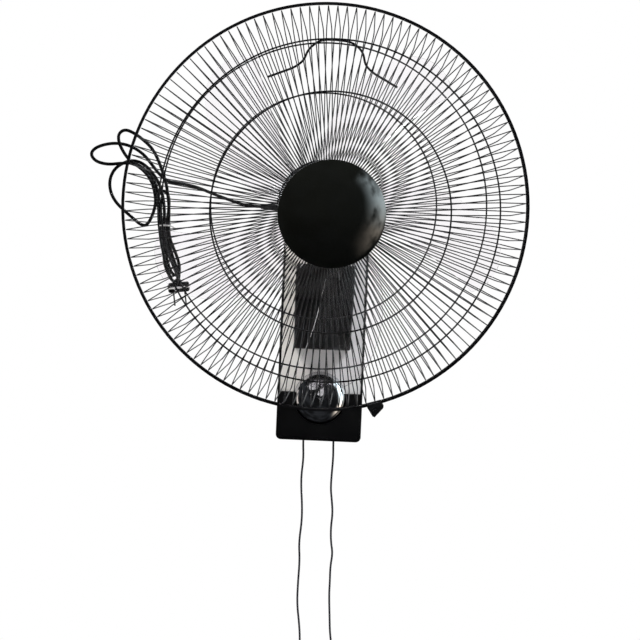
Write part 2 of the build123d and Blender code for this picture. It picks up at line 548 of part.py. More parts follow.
def swing_motor():
    low = SHELF_TOP
    can = rod_z(SWING_MOTOR_R, low, low + SWING_MOTOR_H, CRANK_X, CRANK_Y)
    return can - rod_z(CRANK_SHAFT_R + RUN, low - 1, low + CRANK_SHAFT_IN + 1, CRANK_X, CRANK_Y)


def crank_shaft():
    return rod_z(CRANK_SHAFT_R, CRANK_TOP, SHELF_TOP + CRANK_SHAFT_IN, CRANK_X, CRANK_Y)


def crank_disc():
    pivot, centre, pin = rest_linkage()
    arm = (pin - centre).rotate(Axis.Z, -PAN_RIGHT)
    x, y = CRANK_X + arm.X, CRANK_Y + arm.Y
    disc = rod_z(CRANK_THROW + CRANK_EDGE, CRANK_TOP - CRANK_T, CRANK_TOP, CRANK_X, CRANK_Y)
    return disc + rod_z(LINK_PIN_R, CRANK_PIN_LOW, CRANK_TOP - 1, x, y)


# ---------------------------------------------------------------- motor
def front_frame():
    """Cast end frame: skirt over the stator, bush housing, and the neck that holds the rear guard."""
    face = REAR_PLATE_BACK
    return turned(
        [
            (BUSH_R, NECK_FRONT),
            (NECK_R, NECK_FRONT),
            (NECK_R, face),
            (FACE_R, face),
            (FACE_R, FRONT_FRAME_Y),
            (FRAME_R, FRONT_FRAME_Y),
            (FRAME_R, FRAME_SPLIT),
            (SKIRT_IN, FRAME_SPLIT),
            (SKIRT_IN, FRONT_FRAME_Y + FRAME_T),
            (BUSH_R, FRONT_FRAME_Y + FRAME_T),
        ]
    )


def rear_frame():
    front = FRAME_SPLIT + FRAME_SPLIT_GAP
    end = SHAFT_TAIL + SHAFT_END_PLAY
    return turned(
        [
            (BUSH_R, REAR_FRAME_FRONT - 1),
            (SKIRT_IN, REAR_FRAME_FRONT - 1),
            (SKIRT_IN, front),
            (FRAME_R, front),
            (FRAME_R, REAR_FRAME_BACK),
            (BUSH_R + FRAME_T, REAR_FRAME_BACK),
            (BUSH_R + FRAME_T, end + FRAME_CAP_T),
            (0, end + FRAME_CAP_T),
            (0, end),
            (BUSH_R, end),
        ]
    )


def shaft_bushes():
    hole = rod_y(SHAFT_R + RUN, SHAFT_NOSE, SHAFT_TAIL + 1)
    back = FRONT_FRAME_Y + FRAME_T / 2
    return [rod_y(BUSH_R, back - BUSH_L, back) - hole, rod_y(BUSH_R, SHAFT_TAIL - BUSH_L, SHAFT_TAIL) - hole]


def stator_core():
    """Laminated ring with slots open to the bore."""
    low, high = STATOR_FRONT - 1, STATOR_BACK + 1
    ring = rod_y(STATOR_R, STATOR_FRONT, STATOR_BACK) - rod_y(STATOR_BORE, low, high)
    mouth = block(-SLOT_MOUTH / 2, SLOT_MOUTH / 2, low, high, STATOR_BORE - 1, SLOT_AT)
    for slot in around_y(mouth + rod_y(SLOT_R, low, high, 0, SLOT_AT), SLOTS):
        ring -= slot
    return ring


def windings():
    """The copper end turns, a bundle on each face of the stator."""
    front = (FRONT_FRAME_Y + FRAME_T + WINDING_PLAY, STATOR_FRONT)
    rear = (STATOR_BACK, REAR_FRAME_FRONT - 1 - WINDING_PLAY)
    bundles = []
    for (low, high), end in ((front, 0), (rear, -1)):
        bundle = turned([(WINDING_IN, low), (WINDING_OUT, low), (WINDING_OUT, high), (WINDING_IN, high)])
        bundles.append(fillet(bundle.edges().group_by(Axis.Y)[end], 3.0))
    return bundles


def front_cover():
    """Black shell over the front of the motor, open round the frame's face."""
    out, wall, front, bore = MOTOR_R, MOTOR_WALL, MOTOR_FRONT, FACE_R + GAP
    shell = turned(
        [
            (bore, front),
            (out - 3, front),
            (out, front + 4),
            (out, MOTOR_JOINT),
            (out - wall, MOTOR_JOINT),
            (out - wall, front + 5),
            (out - wall - 1.5, front + wall + 0.7),
            (bore, front + wall + 0.7),
        ]
    )
    return shell - rod_x(GLAND_R + GAP, -MOTOR_R - 5, -MOTOR_R + 15, GLAND_Y, GLAND_Z)


def rear_cover():
    """Black shell over the swing motor: a tapered can with a domed end, vent slots and two openings below."""
    out, wall = MOTOR_R, MOTOR_WALL
    y0, y1 = MOTOR_JOINT + GAP, MOTOR_BACK
    belly = y0 + 40
    outer = Polyline((0, y0), (out, y0), (out - 0.5, belly), (out - 4, y1 - 12))
    outer += ThreePointArc((out - 4, y1 - 12), (out - 12, y1 - 2.6), (out - 24, y1))
    outer += Polyline((out - 24, y1), (0, y1), (0, y0))
    inside = [(0, y0 - 1), (out - wall, y0 - 1), (out - wall - 0.5, belly), (out - wall - 4, y1 - 13)]
    inside += [(out - 25, y1 - wall), (0, y1 - wall)]
    shell = revolve(make_face(outer), Axis.Y) - turned(inside)
    shell -= rod_z(SADDLE_R + SLIDE, -MOTOR_R - 10, SHELF_TOP, MOTOR_OFFSET, RIM_AHEAD)
    shell -= rod_z(CRANK_SHAFT_R + 1.5, -MOTOR_R - 10, SHELF_TOP, CRANK_X, CRANK_Y)
    half = SIDE_VENT_W / 2
    vent = block(-half, half, SIDE_VENT_FROM, SIDE_VENT_TO, MOTOR_R - 17, MOTOR_R + 13)
    for slot in around_y(vent, SIDE_VENTS, 7.5):
        if slot.center().Z > 18:
            shell -= slot
    half = END_VENT_W / 2
    for k in range(-3, 4):
        middle = END_VENT_STEP * k
        reach = sqrt(END_VENT_R**2 - middle**2)
        shell -= block(-reach, reach, y1 - 10, y1 + 5, middle - half, middle + half)
    for x, z in COVER_SCREWS:
        shell -= rod_y(COVER_SCREW_R + RUN, y1 - 20, y1 + 2, x, z)
    return shell


def cover_screws():
    """Long screws from the rear cover into the rear frame."""
    screws = []
    for x, z in COVER_SCREWS:
        head = rod_y(SCREW_HEAD_R, MOTOR_BACK, MOTOR_BACK + SCREW_HEAD_T, x, z)
        screws.append(head + rod_y(COVER_SCREW_R, REAR_FRAME_BACK, MOTOR_BACK, x, z))
    return screws


# ---------------------------------------------------------------- rotor
def rotor_shaft():
    return rod_y(SHAFT_R, SHAFT_NOSE, SHAFT_TAIL)


def rotor_core():
    core = rod_y(STATOR_BORE - AIR_GAP, STATOR_FRONT, STATOR_BACK)
    return core - rod_y(SHAFT_R, STATOR_FRONT - 1, STATOR_BACK + 1)


def polar(radius, angle, y=0.0):
    """A point by its radius and its angle clockwise from the top, seen from the front."""
    return (radius * sin(radians(angle)), y, radius * cos(radians(angle)))


def at_radius(table, radius):
    """Straight-line reading of a short (radius, value) table."""
    for (r0, v0), (r1, v1) in zip(table, table[1:]):
        if radius <= r1 or (r1, v1) == table[-1]:
            return v0 + (v1 - v0) * (radius - r0) / (r1 - r0)


def blade():
    """One swept blade: a twisted, cambered slab cut to the outline seen from the front."""
    sections = []
    for radius, pitch in PITCH:
        centre = (at_radius(LEADING, radius) + at_radius(TRAILING, radius)) / 2
        shift = radius * tan(radians(centre - BLADE_CENTRE))
        chord = BLADE_CHORD + CHORD_GROWTH * radius
        along = Vector(cos(radians(pitch)), sin(radians(pitch)), 0)
        across = Vector(-sin(radians(pitch)), cos(radians(pitch)), 0)
        mid = Vector(shift, BLADE_MID, radius)
        sag = BLADE_SAG * chord
        ends = [mid - along * (chord / 2), mid + along * (chord / 2)]
        bow = mid - across * sag
        lift = across * (BLADE_T / 2)
        front = ThreePointArc(ends[0] - lift, bow - lift, ends[1] - lift)
        side = Line(ends[1] - lift, ends[1] + lift)
        back = ThreePointArc(ends[1] + lift, bow + lift, ends[0] + lift)
        sections.append(make_face(front + side + back + Line(ends[0] + lift, ends[0] - lift)))
    slab = Rot(0, BLADE_CENTRE, 0) * loft(sections)
    front = HUB_FRONT - 28
    lead = [polar(r, a, front) for r, a in LEADING]
    trail = [polar(r, a, front) for r, a in TRAILING]
    tip = ThreePointArc(lead[-1], polar(TIP_R, TIP_AT, front), trail[-1])
    outline = Spline(*lead) + tip + Spline(*reversed(trail)) + Line(trail[0], lead[0])
    return slab & extrude(make_face(outline), 120, dir=(0, 1, 0))


def fan_blades():
    """Hub and five blades, moulded as one clear piece."""
    hub = turned(
        [
            (0, HUB_FRONT),
            (HUB_R - HUB_EDGE, HUB_FRONT),
            (HUB_R, HUB_FRONT + HUB_EDGE),
            (HUB_R, HUB_BACK),
            (HUB_R - HUB_WALL, HUB_BACK),
            (HUB_R - HUB_WALL, HUB_FRONT + HUB_WALL + 1),
            (HUB_BOSS_R, HUB_FRONT + HUB_WALL),
            (HUB_BOSS_R, HUB_BACK),
            (0, HUB_BACK),
        ]
    )
    one = blade() - rod_y(HUB_R - 1, HUB_FRONT - 40, HUB_BACK + 40)
    for copy in around_y(one, BLADES):
        hub += copy
    rib = block(HUB_BOSS_R - 1, HUB_R - 1, HUB_FRONT + 2, HUB_BACK - 12, -1, 1)
    for copy in around_y(rib, BLADES):
        hub += copy
    hub -= rod_y(SHAFT_R + RUN, HUB_FRONT - 1, HUB_BACK + 1)
    half, deep = DRIVE_PIN_R + 0.2, 2 * DRIVE_PIN_R + SLIDE
    return hub - block(-9, 9, HUB_BACK - deep, HUB_BACK + 1, -half, half)


def drive_pin():
    half = DRIVE_PIN_L / 2
    pin = rod_x(DRIVE_PIN_R, -half, half, HUB_BACK - DRIVE_PIN_IN, 0)
    return pin - rod_y(SHAFT_R, HUB_FRONT, HUB_BACK + 9)


def spinner_nut():
    r, base = SPINNER_R, HUB_FRONT
    cone = turned([(0, base), (r, base), (r - 1, base - 7), (r / 2, base - 14), (0, base - SPINNER_L)])
    for notch in around_y(rod_y(SPINNER_GRIP_R, base + 1, base - 7, r + 1, 0), SPINNER_GRIPS):
        cone -= notch
    return cone - rod_y(SHAFT_R + RUN, base + 1, SHAFT_NOSE - SHAFT_END_PLAY)


# ---------------------------------------------------------------- guard
def guard_points(side, plate_y, a_y, shoulder):
    """Centre line of a radial wire as (radius, y) points; side is -1 for the front guard, 1 for the rear."""
    return [(WIRE_IN, plate_y), (RING_A, a_y), shoulder, (WIRE_END, side * HOOP_Y)]


FRONT_LINE = guard_points(-1, FRONT_PLATE_Y, FRONT_A_Y, FRONT_SHOULDER)
REAR_LINE = guard_points(1, REAR_PLATE_Y, REAR_A_Y, REAR_SHOULDER)


def radial_wires(points):
    path = FilletPolyline(*[(r, y, 0) for r, y in points], radius=[BEND_R, SHOULDER_R])
    wire = swept(path, WIRE_R)
    half = 180.0 / WIRES
    return around_y(wire, WIRES, half)


def rings(points, side):
    """The two rings inside the radial wires, and the hoop at the rim."""
    found = []
    runs = ((RING_A, RING_A_PLAY, points[0], points[1]), (RING_B, RING_B_PLAY, points[1], points[2]))
    for radius, play, (ra, ya), (rb, yb) in runs:
        slope = atan2(yb - ya, rb - ra)
        off = WIRE_R + RING_R + GAP + play
        inward = Vector(sin(slope), -cos(slope)) * side
        found.append(ring_y(radius + inward.X * off, RING_R, at_radius(points, radius) + inward.Y * off))
    found.append(ring_y(HOOP_MAJOR, HOOP_R, side * HOOP_Y))
    return found


def front_plate_faces():
    """The two faces of the steel disc behind the inner ends of the front wires."""
    outside = at_radius(FRONT_LINE, GUARD_PLATE_R) + WIRE_R + GAP
    return outside, outside + GUARD_PLATE_T


def front_plate():
    outside, face = front_plate_faces()
    plate = rod_y(GUARD_PLATE_R, outside, face) - rod_y(PLATE_HOLE_R, outside - 1, face + 1)
    leg = rod_y(CAP_LEG_R + GAP, outside - 2, face + 2, CAP_LEG_AT, 0)
    for hole in around_y(leg, CAP_LEGS, CAP_LEG_TURN):
        plate -= hole
    return plate


def rear_plate():
    face = REAR_PLATE_BACK
    plate = rod_y(GUARD_PLATE_R, face, face - GUARD_PLATE_T)
    return plate - rod_y(NECK_R + GAP, face - GUARD_PLATE_T - 1, face + 1)


def guard_nut():
    back = REAR_PLATE_BACK - GUARD_PLATE_T
    nut = rod_y(NUT_R, back, back - NUT_L)
    for grip in around_y(rod_y(NUT_GRIP_R, back - NUT_RIM, back - NUT_L - 1, NUT_R + 0.8, 0), NUT_GRIPS):
        nut -= grip
    return nut - rod_y(NECK_R + RUN, back - NUT_L - 1, back + 1)


def hub_cap():
    """The glossy domed cap on the middle of the front guard, with three legs through the plate."""
    edge = FRONT_PLATE_Y - WIRE_R - GAP
    top = edge - CAP_H
    r, w = CAP_R, CAP_WALL
    skirt = edge - CAP_SKIRT
    outer = Polyline((0, edge), (r, edge), (r, skirt)) + crown(r, skirt, top) + Line((0, top), (0, edge))
    cap = revolve(make_face(outer), Axis.Y)
    inner = Polyline((0, edge + 1), (r - w, edge + 1), (r - w, skirt))
    inner += crown(r - w, skirt, top + w) + Line((0, top + w), (0, edge + 1))
    cap -= revolve(make_face(inner), Axis.Y)
    outside, face = front_plate_faces()
    leg = rod_y(CAP_LEG_R, face + CAP_LEG_PAST, edge - 15, CAP_LEG_AT, 0)
    for copy in around_y(leg, CAP_LEGS, CAP_LEG_TURN):
        cap += copy
    return cap


def rim_band():
    """U-shaped band that clamps the two hoops, slit where the clip draws it together."""
    half, out, wall = RIM_WIDE / 2, RIM_OUT, RIM_WALL
    inner = out - RIM_LIP
    band = turned(
        [
            (inner, -half),
            (out, -half),
            (out, half),
            (inner, half),
            (inner, half - wall),
            (out - wall, half - wall),
            (out - wall, -half + wall),
            (inner, -half + wall),
        ]
    )
    return band - Rot(0, -CLIP_ANGLE, 0) * block(out - 6, out + 2, -20, 20, -BAND_SLIT / 2, BAND_SLIT / 2)


def rim_clip():
    """Wedge-shaped lug on the rim that holds the band's two ends."""
    base = RIM_OUT + GAP
    lug = [(base - 0.4, -9.0), (base + 1.6, 9.5), (base + 4.5, 8.5), (base + 12.5, -3.5), (base + 11.0, -5.5)]
    wedge = extrude(Plane.XZ * make_face(Polyline(*lug, close=True)), CLIP_T, both=True)
    wedge -= rod_y(base, -30, 30)
    foot = RIM_OUT - CLIP_FOOT
    side = Polyline((foot, -8.0), (foot, 8.0), (base + 3.0, 8.0), (base + 3.0, -8.0), close=True)
    cheeks = extrude(Plane.XZ * make_face(side), CLIP_T, both=True)
    band = RIM_WIDE / 2 + GAP
    clip = wedge + (cheeks - block(0, 2 * RIM_OUT, -band, band, -20, 20))
    clip -= rod_y(CLIP_SCREW_R + RUN, -30, 30, base + CLIP_SCREW_OUT, CLIP_SCREW_Z)
    return Rot(0, -CLIP_ANGLE, 0) * clip


def rim_screw():
    x, z = RIM_OUT + GAP + CLIP_SCREW_OUT, CLIP_SCREW_Z
    screw = rod_y(CLIP_SCREW_R, -CLIP_T, CLIP_T + 2, x, z)
    screw += rod_y(CLIP_SCREW_HEAD_R, -CLIP_T - 2, -CLIP_T, x, z)
    return Rot(0, -CLIP_ANGLE, 0) * screw


def rear_surface(radius, lift):
    """How far behind the rim a thing lies that sits on the back of the rear guard's wires."""
    return at_radius(REAR_LINE, radius) + WIRE_R * 1.1 + lift


def steady_wire():
    """The bent wire across the top of the rear guard: two feet along a ring, and a raised loop between."""
    points = []
    for angle, out in STEADY_WIRE:
        radius = RING_B + out
        y = rear_surface(radius, STEADY_R + GAP + 0.4)
        points.append((radius * cos(radians(angle)), y, radius * sin(radians(angle))))
    return cord_tube("steady wire", points, STEADY_R)


# ---------------------------------------------------------------- mains lead, in the head's frame
LEAD_ROUTE = (  # from the strain relief forward to the tied hank
    (GLAND_TIP, GLAND_Y, GLAND_Z),
    (-85.0, 96.8, -5.0),
    (-106.3, 84.0, 1.8),
    (-128.4, 69.0, 10.0),
    (-142.0, 59.5, 15.6),
    (-155.7, 53.0, 19.0),
    (-171.0, 49.0, 21.0),
)
# One cord from the lead's end: a wide loop, a strand down and back up, a loop at the top, a short strand
# to a kink, a loop at the left, and a strand down to the plug. The three loops stand out past the rim.
HANK_ROUTE = (
    (-171.0, 49.0, 21.0),
    (-175.9, 48.1, 21.6),
    (-185.0, 47.8, 28.0),
    (-194.6, 47.4, 39.5),
    (-204.5, 46.0, 51.5),
    (-220.0, 44.0, 60.5),
    (-238.0, 42.0, 62.5),
    (-256.0, 39.0, 57.5),
    (-263.0, 38.0, 49.5),
    (-257.0, 38.0, 41.0),
    (-243.0, 38.0, 38.0),
    (-228.0, 38.0, 40.3),
    (-213.0, 38.0, 41.0),
    (-200.5, 38.0, 33.8),
    (-191.0, 38.3, 22.0),
    (-186.9, 39.0, 10.0),
    (-184.2, 40.0, -5.0),
    (-183.4, 40.5, -20.0),
    (-183.4, 40.5, -34.0),
    (-181.0, 40.5, -49.0),
    (-177.8, 42.5, -62.0),
    (-177.2, 46.5, -70.5),
    (-175.6, 49.5, -78.0),
    (-165.5, 50.5, -85.2),
    (-158.6, 49.8, -76.5),
    (-162.4, 48.6, -64.0),
    (-168.0, 47.2, -52.0),
    (-172.4, 46.3, -40.0),
    (-174.2, 45.9, -27.0),
    (-172.6, 46.1, -12.0),
    (-171.6, 46.6, -1.0),
    (-174.2, 47.0, 8.0),
    (-180.4, 47.2, 11.8),
    (-186.4, 47.0, 7.6),
    (-187.8, 46.5, -3.0),
    (-183.6, 46.1, -14.0),
    (-181.0, 45.9, -27.0),
    (-180.9, 46.1, -38.0),
    (-179.6, 48.0, -49.0),
    (-177.4, 52.6, -60.0),
    (-174.6, 56.2, -69.5),
    (-167.0, 57.4, -76.0),
    (-158.6, 55.2, -74.0),
    (-154.8, 50.4, -66.5),
    (-158.0, 45.2, -58.0),
    (-164.0, 42.4, -51.0),
    (-170.2, 41.5, -43.5),
    (-173.7, 41.2, -33.0),
    (-173.8, 41.2, -20.0),
    (-174.1, 41.0, -5.0),
    (-176.0, 40.6, 9.0),
    (-178.6, 39.8, 22.0),
    (-182.5, 38.5, 33.0),
    (-187.2, 37.0, 45.0),
    (-193.6, 36.0, 57.0),
    (-203.0, 34.5, 66.0),
    (-214.9, 33.0, 74.3),
    (-225.0, 31.0, 78.0),
    (-231.8, 29.5, 73.0),
    (-231.5, 28.5, 64.0),
    (-226.0, 28.0, 53.0),
    (-218.5, 29.0, 43.5),
    (-204.0, 31.5, 34.5),
    (-194.8, 34.2, 23.5),
    (-190.4, 36.0, 11.0),
    (-188.6, 36.4, -2.0),
    (-191.0, 37.0, -13.0),
    (-194.2, 37.0, -21.5),
    (-198.8, 36.6, -28.4),
    (-205.6, 36.4, -26.8),
    (-213.5, 36.5, -20.2),
    (-223.8, 36.6, -12.0),
    (-233.5, 37.0, -3.0),
    (-239.6, 38.0, 8.0),
    (-241.0, 39.5, 21.0),
    (-236.7, 41.5, 32.4),
    (-228.5, 43.0, 39.5),
    (-217.5, 43.8, 44.0),
    (-206.0, 43.9, 41.8),
    (-196.0, 43.8, 33.5),
    (-188.0, 43.4, 23.0),
    (-182.6, 42.3, 11.0),
    (-179.4, 41.2, -5.0),
    (-178.6, 40.7, -20.0),
    (-178.6, 40.6, -34.0),
    (-176.0, 40.0, -49.0),
    (-172.4, 40.4, -62.0),
    (-166.6, 42.2, -73.5),
    (-162.3, 44.0, -82.0),
    (-161.6, 44.0, -87.0),
)


def arc_from(start, tangent, end):
    """The arc that leaves its start along a tangent."""
    chord = end - start
    along = chord.normalized()
    lean = tangent - along * tangent.dot(along)
    if lean.length < 1e-4:
        return Line(start, end)
    rise = chord.length / 2 * tan(atan2(lean.length, tangent.dot(along)) / 2)
    return ThreePointArc(start, start + chord / 2 + lean.normalized() * rise, end)


def biarc(start, start_way, end, end_way):
    """Two tangent arcs from a point and direction to a point and direction."""
    chord = end - start
    along = chord.dot(start_way + end_way)
    bend = 2 * (1 - start_way.dot(end_way))
    square = chord.dot(chord)
    reach = square / (2 * along) if bend < 1e-6 else (sqrt(along**2 + bend * square) - along) / bend
    middle = (start + start_way * reach + end - end_way * reach) / 2
    first = arc_from(start, start_way, middle)
    second = arc_from(end, end_way * -1, middle)
    if isinstance(second, ThreePointArc):
        return [first, Edge.make_three_point_arc(middle, second @ 0.5, end)]
    return [first, Line(middle, end)]


def smooth_path(points):
    """A smooth wire of arcs through points; its first and last runs are straight."""
    spots = [Vector(p) for p in points]
    ways = []
    for before, here, after in zip(spots, spots[1:], spots[2:]):
        back, ahead = here - before, after - here
        ways.append((back * (1 / back.dot(back)) + ahead * (1 / ahead.dot(ahead))).normalized())
    ways[0] = (spots[1] - spots[0]).normalized()
    ways[-1] = (spots[-1] - spots[-2]).normalized()
    edges = [Line(spots[0], spots[1])]
    for here, way, there, next_way in zip(spots[1:-2], ways, spots[2:-1], ways[1:]):
        edges += biarc(here, way, there, next_way)
    edges.append(Line(spots[-2], spots[-1]))
    return Wire(edges)


def least_self_gap(path, radius):
    """Least gap between stretches of a cord that are more than three diameters apart along it."""
    count = round(path.length / 1.5)
    spots = [tuple(path @ (k / count)) for k in range(count + 1)]
    apart = round(6 * radius / 1.5)
    pairs = ((a, b) for k, a in enumerate(spots) for b in spots[k + apart :])
    return min(dist(a, b) for a, b in pairs) - 2 * radius


def lead_hank():
    path = smooth_path(HANK_ROUTE)
    tube = swept(path, LEAD_R)
    bends = [edge.radius for edge in path.edges() if edge.geom_type == GeomType.CIRCLE]
    print(f"lead hank: length {path.length:.0f}, least radius {min(bends):.1f}")
    print(f"lead hank: least gap {least_self_gap(path, LEAD_R):.2f}")
    print(f"lead hank: volume/ideal {tube.volume / (pi * LEAD_R**2 * path.length):.4f}")
    return tube


def lead_gland():
    """Strain relief in the side of the motor's front cover."""
    wall = -(MOTOR_R - MOTOR_WALL)
    start = -MOTOR_R - GAP - GLAND_FLANGE_T
    body = rod_x(GLAND_R, wall - SLIDE, start, GLAND_Y, GLAND_Z)
    body += rod_x(GLAND_R + GLAND_FLANGE, start, -MOTOR_R - GAP, GLAND_Y, GLAND_Z)
    cone = Rot(0, -90, 0) * Cone(GLAND_R, LEAD_R + GLAND_LIP, start - GLAND_TIP)
    return body + Pos((start + GLAND_TIP) / 2, GLAND_Y, GLAND_Z) * cone


def plug_frame():
    end, before = Vector(HANK_ROUTE[-1]), Vector(HANK_ROUTE[-2])
    return Plane(origin=end, x_dir=(1, 0, 0.14), z_dir=before - end)


def mains_plug():
    """Two-pin plug: neck, moulded body and flat pins."""
    neck = Pos(0, 0, -PLUG_NECK / 2) * Cone(PLUG_T / 2 - 0.5, LEAD_R + 1.0, PLUG_NECK)
    body = fillet(Box(PLUG_W, PLUG_T, PLUG_H).edges(), PLUG_EDGE_R)
    shape = neck + Pos(0, 0, -PLUG_NECK - PLUG_H / 2) * body
    for side in (-1, 1):
        low = -PLUG_NECK - PLUG_H
        pin = Pos(side * PIN_PITCH / 2, 0, low - PIN_L / 2) * Box(PIN_T, PIN_W, PIN_L)
        shape += fillet(pin.edges().group_by(Axis.Z)[0], 0.6)
    return plug_frame().location * shape


def tie_band(width, depth, corner):
    """Flat tie round something of a width, a depth and a corner radius."""
    play, out = TIE_PLAY, TIE_PLAY + TIE_T
    inner = RectangleRounded(width + 2 * play, depth + 2 * play, corner + play)
    outer = RectangleRounded(width + 2 * out, depth + 2 * out, corner + out)
    return Pos(0, 0, -TIE_W / 2) * extrude(outer - inner, TIE_W)


def lead_ties():
    """A tie round the five strands of the hank, with its twisted end, and one round the plug."""
    across = 2 * STRAND_STEP + 2 * LEAD_R
    end = Pos(across / 2 + 4.0, 0, -2.4) * Rot(0, 115, 0) * Cylinder(TIE_T, TIE_TWIST)
    upper = tie_band(across, LAYER_STEP + 2 * (LEAD_R + TIE_PLAY), LEAD_R) + end
    middle = plug_frame().location * Pos(0, 0, -PLUG_NECK - PLUG_H / 2)
    return [Pos(*TIE_AT) * upper, middle * tie_band(PLUG_W, PLUG_T, PLUG_EDGE_R)]


# ---------------------------------------------------------------- pull cords
LEFT_PULL = (  # x and z of the left cord from its switch down to its bell
    (-18.6, -100.0),
    (-18.6, -136.0),
    (-17.0, -156.8),
    (-18.8, -176.9),
    (-18.4, -194.0),
    (-16.4, -214.0),
    (-15.7, -235.6),
    (-18.3, -262.7),
    (-16.2, -284.5),
    (-17.3, -314.6),
    (-17.2, -339.6),
    (-13.4, -364.5),
    (-11.6, -384.5),
    (-11.6, -402.0),
)
RIGHT_PULL = (
    (19.2, -100.0),
    (19.2, -136.0),
    (20.1, -153.7),
    (19.0, -175.3),
    (18.6, -194.1),
    (20.5, -207.3),
    (22.4, -224.0),
    (20.8, -242.6),
    (21.8, -260.9),
    (24.5, -274.0),
    (22.3, -291.1),
    (22.6, -309.1),
    (22.3, -326.3),
    (24.2, -354.7),
    (25.2, -371.5),
    (27.4, -386.0),
    (27.4, -403.0),
)


def pull_cord(name, points):
    """The cord hangs in one plane; its first stretch is straight through the eyelet."""
    return cord_tube(name, [(x, PULL_Y, z) for x, z in points], PULL_R)


def bell(points):
    """A small turned bell on the end of a pull cord."""
    x, z = points[-1]
    top, lip = BELL_TOP_R, -BELL_H + 2.0
    outline = Polyline((0, 0), (top - 0.3, 0), (top, -3.0))
    outline += ThreePointArc((top, -3.0), (top + 1.4, -15.0), (BELL_R, lip))
    outline += Polyline((BELL_R, lip), (BELL_R - BELL_LIP, -BELL_H), (0, -BELL_H), (0, 0))
    body = revolve(make_face(Plane.XZ * outline), Axis.Z)
    return Pos(x, PULL_Y, z) * body


# ---------------------------------------------------------------- write every node
save("wall_plate", [wall_plate()])
save("base_housing", [base_housing()])
save("fascia", [fascia()])
save("lower_cover", [lower_cover()])
save("chrome_dome", [dome()])
save("speed_switch", [pull_switch(PULL_X[0])])
save("swing_switch", [pull_switch(PULL_X[1])])
save("capacitor", [capacitor()])
save("terminal_block", [terminal_block()])
save("base_screws", base_screws())
save("cord_eyelets", cord_eyelets())
save("arm_bracket", [arm_bracket()])
save("bracket_bolts", bracket_bolts())
save("arm_cover", [arm_cover()])
save("tilt_bolt", [tilt_bolt()])
save("tilt_nut", [tilt_nut()])

save("neck_knuckle", [knuckle()], NECK)
save("swing_post", [swing_post()], NECK)
save("thrust_washer", [thrust_washer()], NECK)
save("link_pin", [link_pin()], NECK)
save("swing_link", [swing_link()], NECK)

save("swing_saddle", [saddle()], HEAD)
save("post_screw", [post_screw()], HEAD)
save("swing_motor", [swing_motor()], HEAD)
save("crank_shaft", [crank_shaft()], HEAD)
save("crank_disc", [crank_disc()], HEAD)

save("front_end_frame", [front_frame()], HEAD)
save("rear_end_frame", [rear_frame()], HEAD)
save("shaft_bushes", shaft_bushes(), HEAD)
save("stator_core", [stator_core()], HEAD)
save("windings", windings(), HEAD)
save("motor_front_cover", [front_cover()], HEAD)
save("motor_rear_cover", [rear_cover()], HEAD)
save("cover_screws", cover_screws(), HEAD)

save("lead_gland", [lead_gland()], HEAD)
save("mains_lead", [cord_tube("mains lead", LEAD_ROUTE, LEAD_R)], HEAD)
save("lead_hank", [lead_hank()], HEAD)
save("mains_plug", [mains_plug()], HEAD)
save("lead_ties", lead_ties(), HEAD)

save("rotor_shaft", [rotor_shaft()], HEAD)
save("rotor_core", [rotor_core()], HEAD)
save("fan_blades", [fan_blades()], HEAD)
save("drive_pin", [drive_pin()], HEAD)
save("spinner_nut", [spinner_nut()], HEAD)

save("front_guard_wires", radial_wires(FRONT_LINE), HEAD)
save("front_guard_rings", rings(FRONT_LINE, -1), HEAD)
save("front_guard_plate", [front_plate()], HEAD)
save("hub_cap", [hub_cap()], HEAD)
save("rear_guard_wires", radial_wires(REAR_LINE), HEAD)
save("rear_guard_rings", rings(REAR_LINE, 1), HEAD)
save("rear_guard_plate", [rear_plate()], HEAD)
save("steady_wire", [steady_wire()], HEAD)
save("guard_nut", [guard_nut()], HEAD)
save("rim_band", [rim_band()], HEAD)
save("rim_clip", [rim_clip()], HEAD)
save("rim_screw", [rim_screw()], HEAD)

save("speed_pull_cord", [pull_cord("speed pull cord", LEFT_PULL)])
save("speed_pull_bell", [bell(LEFT_PULL)])
save("swing_pull_cord", [pull_cord("swing pull cord", RIGHT_PULL)])
save("swing_pull_bell", [bell(RIGHT_PULL)])
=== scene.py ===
import math

import bmesh
import bpy
from mathutils import Matrix, Vector


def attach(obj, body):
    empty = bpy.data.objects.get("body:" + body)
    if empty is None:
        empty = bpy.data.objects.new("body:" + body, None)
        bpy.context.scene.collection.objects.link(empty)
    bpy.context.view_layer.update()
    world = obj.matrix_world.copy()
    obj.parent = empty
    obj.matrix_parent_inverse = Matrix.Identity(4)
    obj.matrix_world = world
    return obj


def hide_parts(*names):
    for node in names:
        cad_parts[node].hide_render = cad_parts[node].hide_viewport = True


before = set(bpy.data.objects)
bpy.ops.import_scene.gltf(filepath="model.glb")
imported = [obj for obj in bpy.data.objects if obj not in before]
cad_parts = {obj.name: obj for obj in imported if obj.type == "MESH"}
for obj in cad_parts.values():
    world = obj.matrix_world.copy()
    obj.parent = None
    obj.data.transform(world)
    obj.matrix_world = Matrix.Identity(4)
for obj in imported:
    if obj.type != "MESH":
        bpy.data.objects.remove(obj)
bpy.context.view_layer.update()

# ---- Studio
# A bare white studio. The fan hangs in front of nothing, so the wires stand against plain white. A shiny
# surface mirrors that white behind the fan, and on the camera's side a dim room with a window on the right.


def srgb(code):
    """A linear colour from an sRGB hex code."""
    values = [int(code[k : k + 2], 16) / 255 for k in (1, 3, 5)]
    return (*[v / 12.92 if v <= 0.04045 else ((v + 0.055) / 1.055) ** 2.4 for v in values], 1.0)


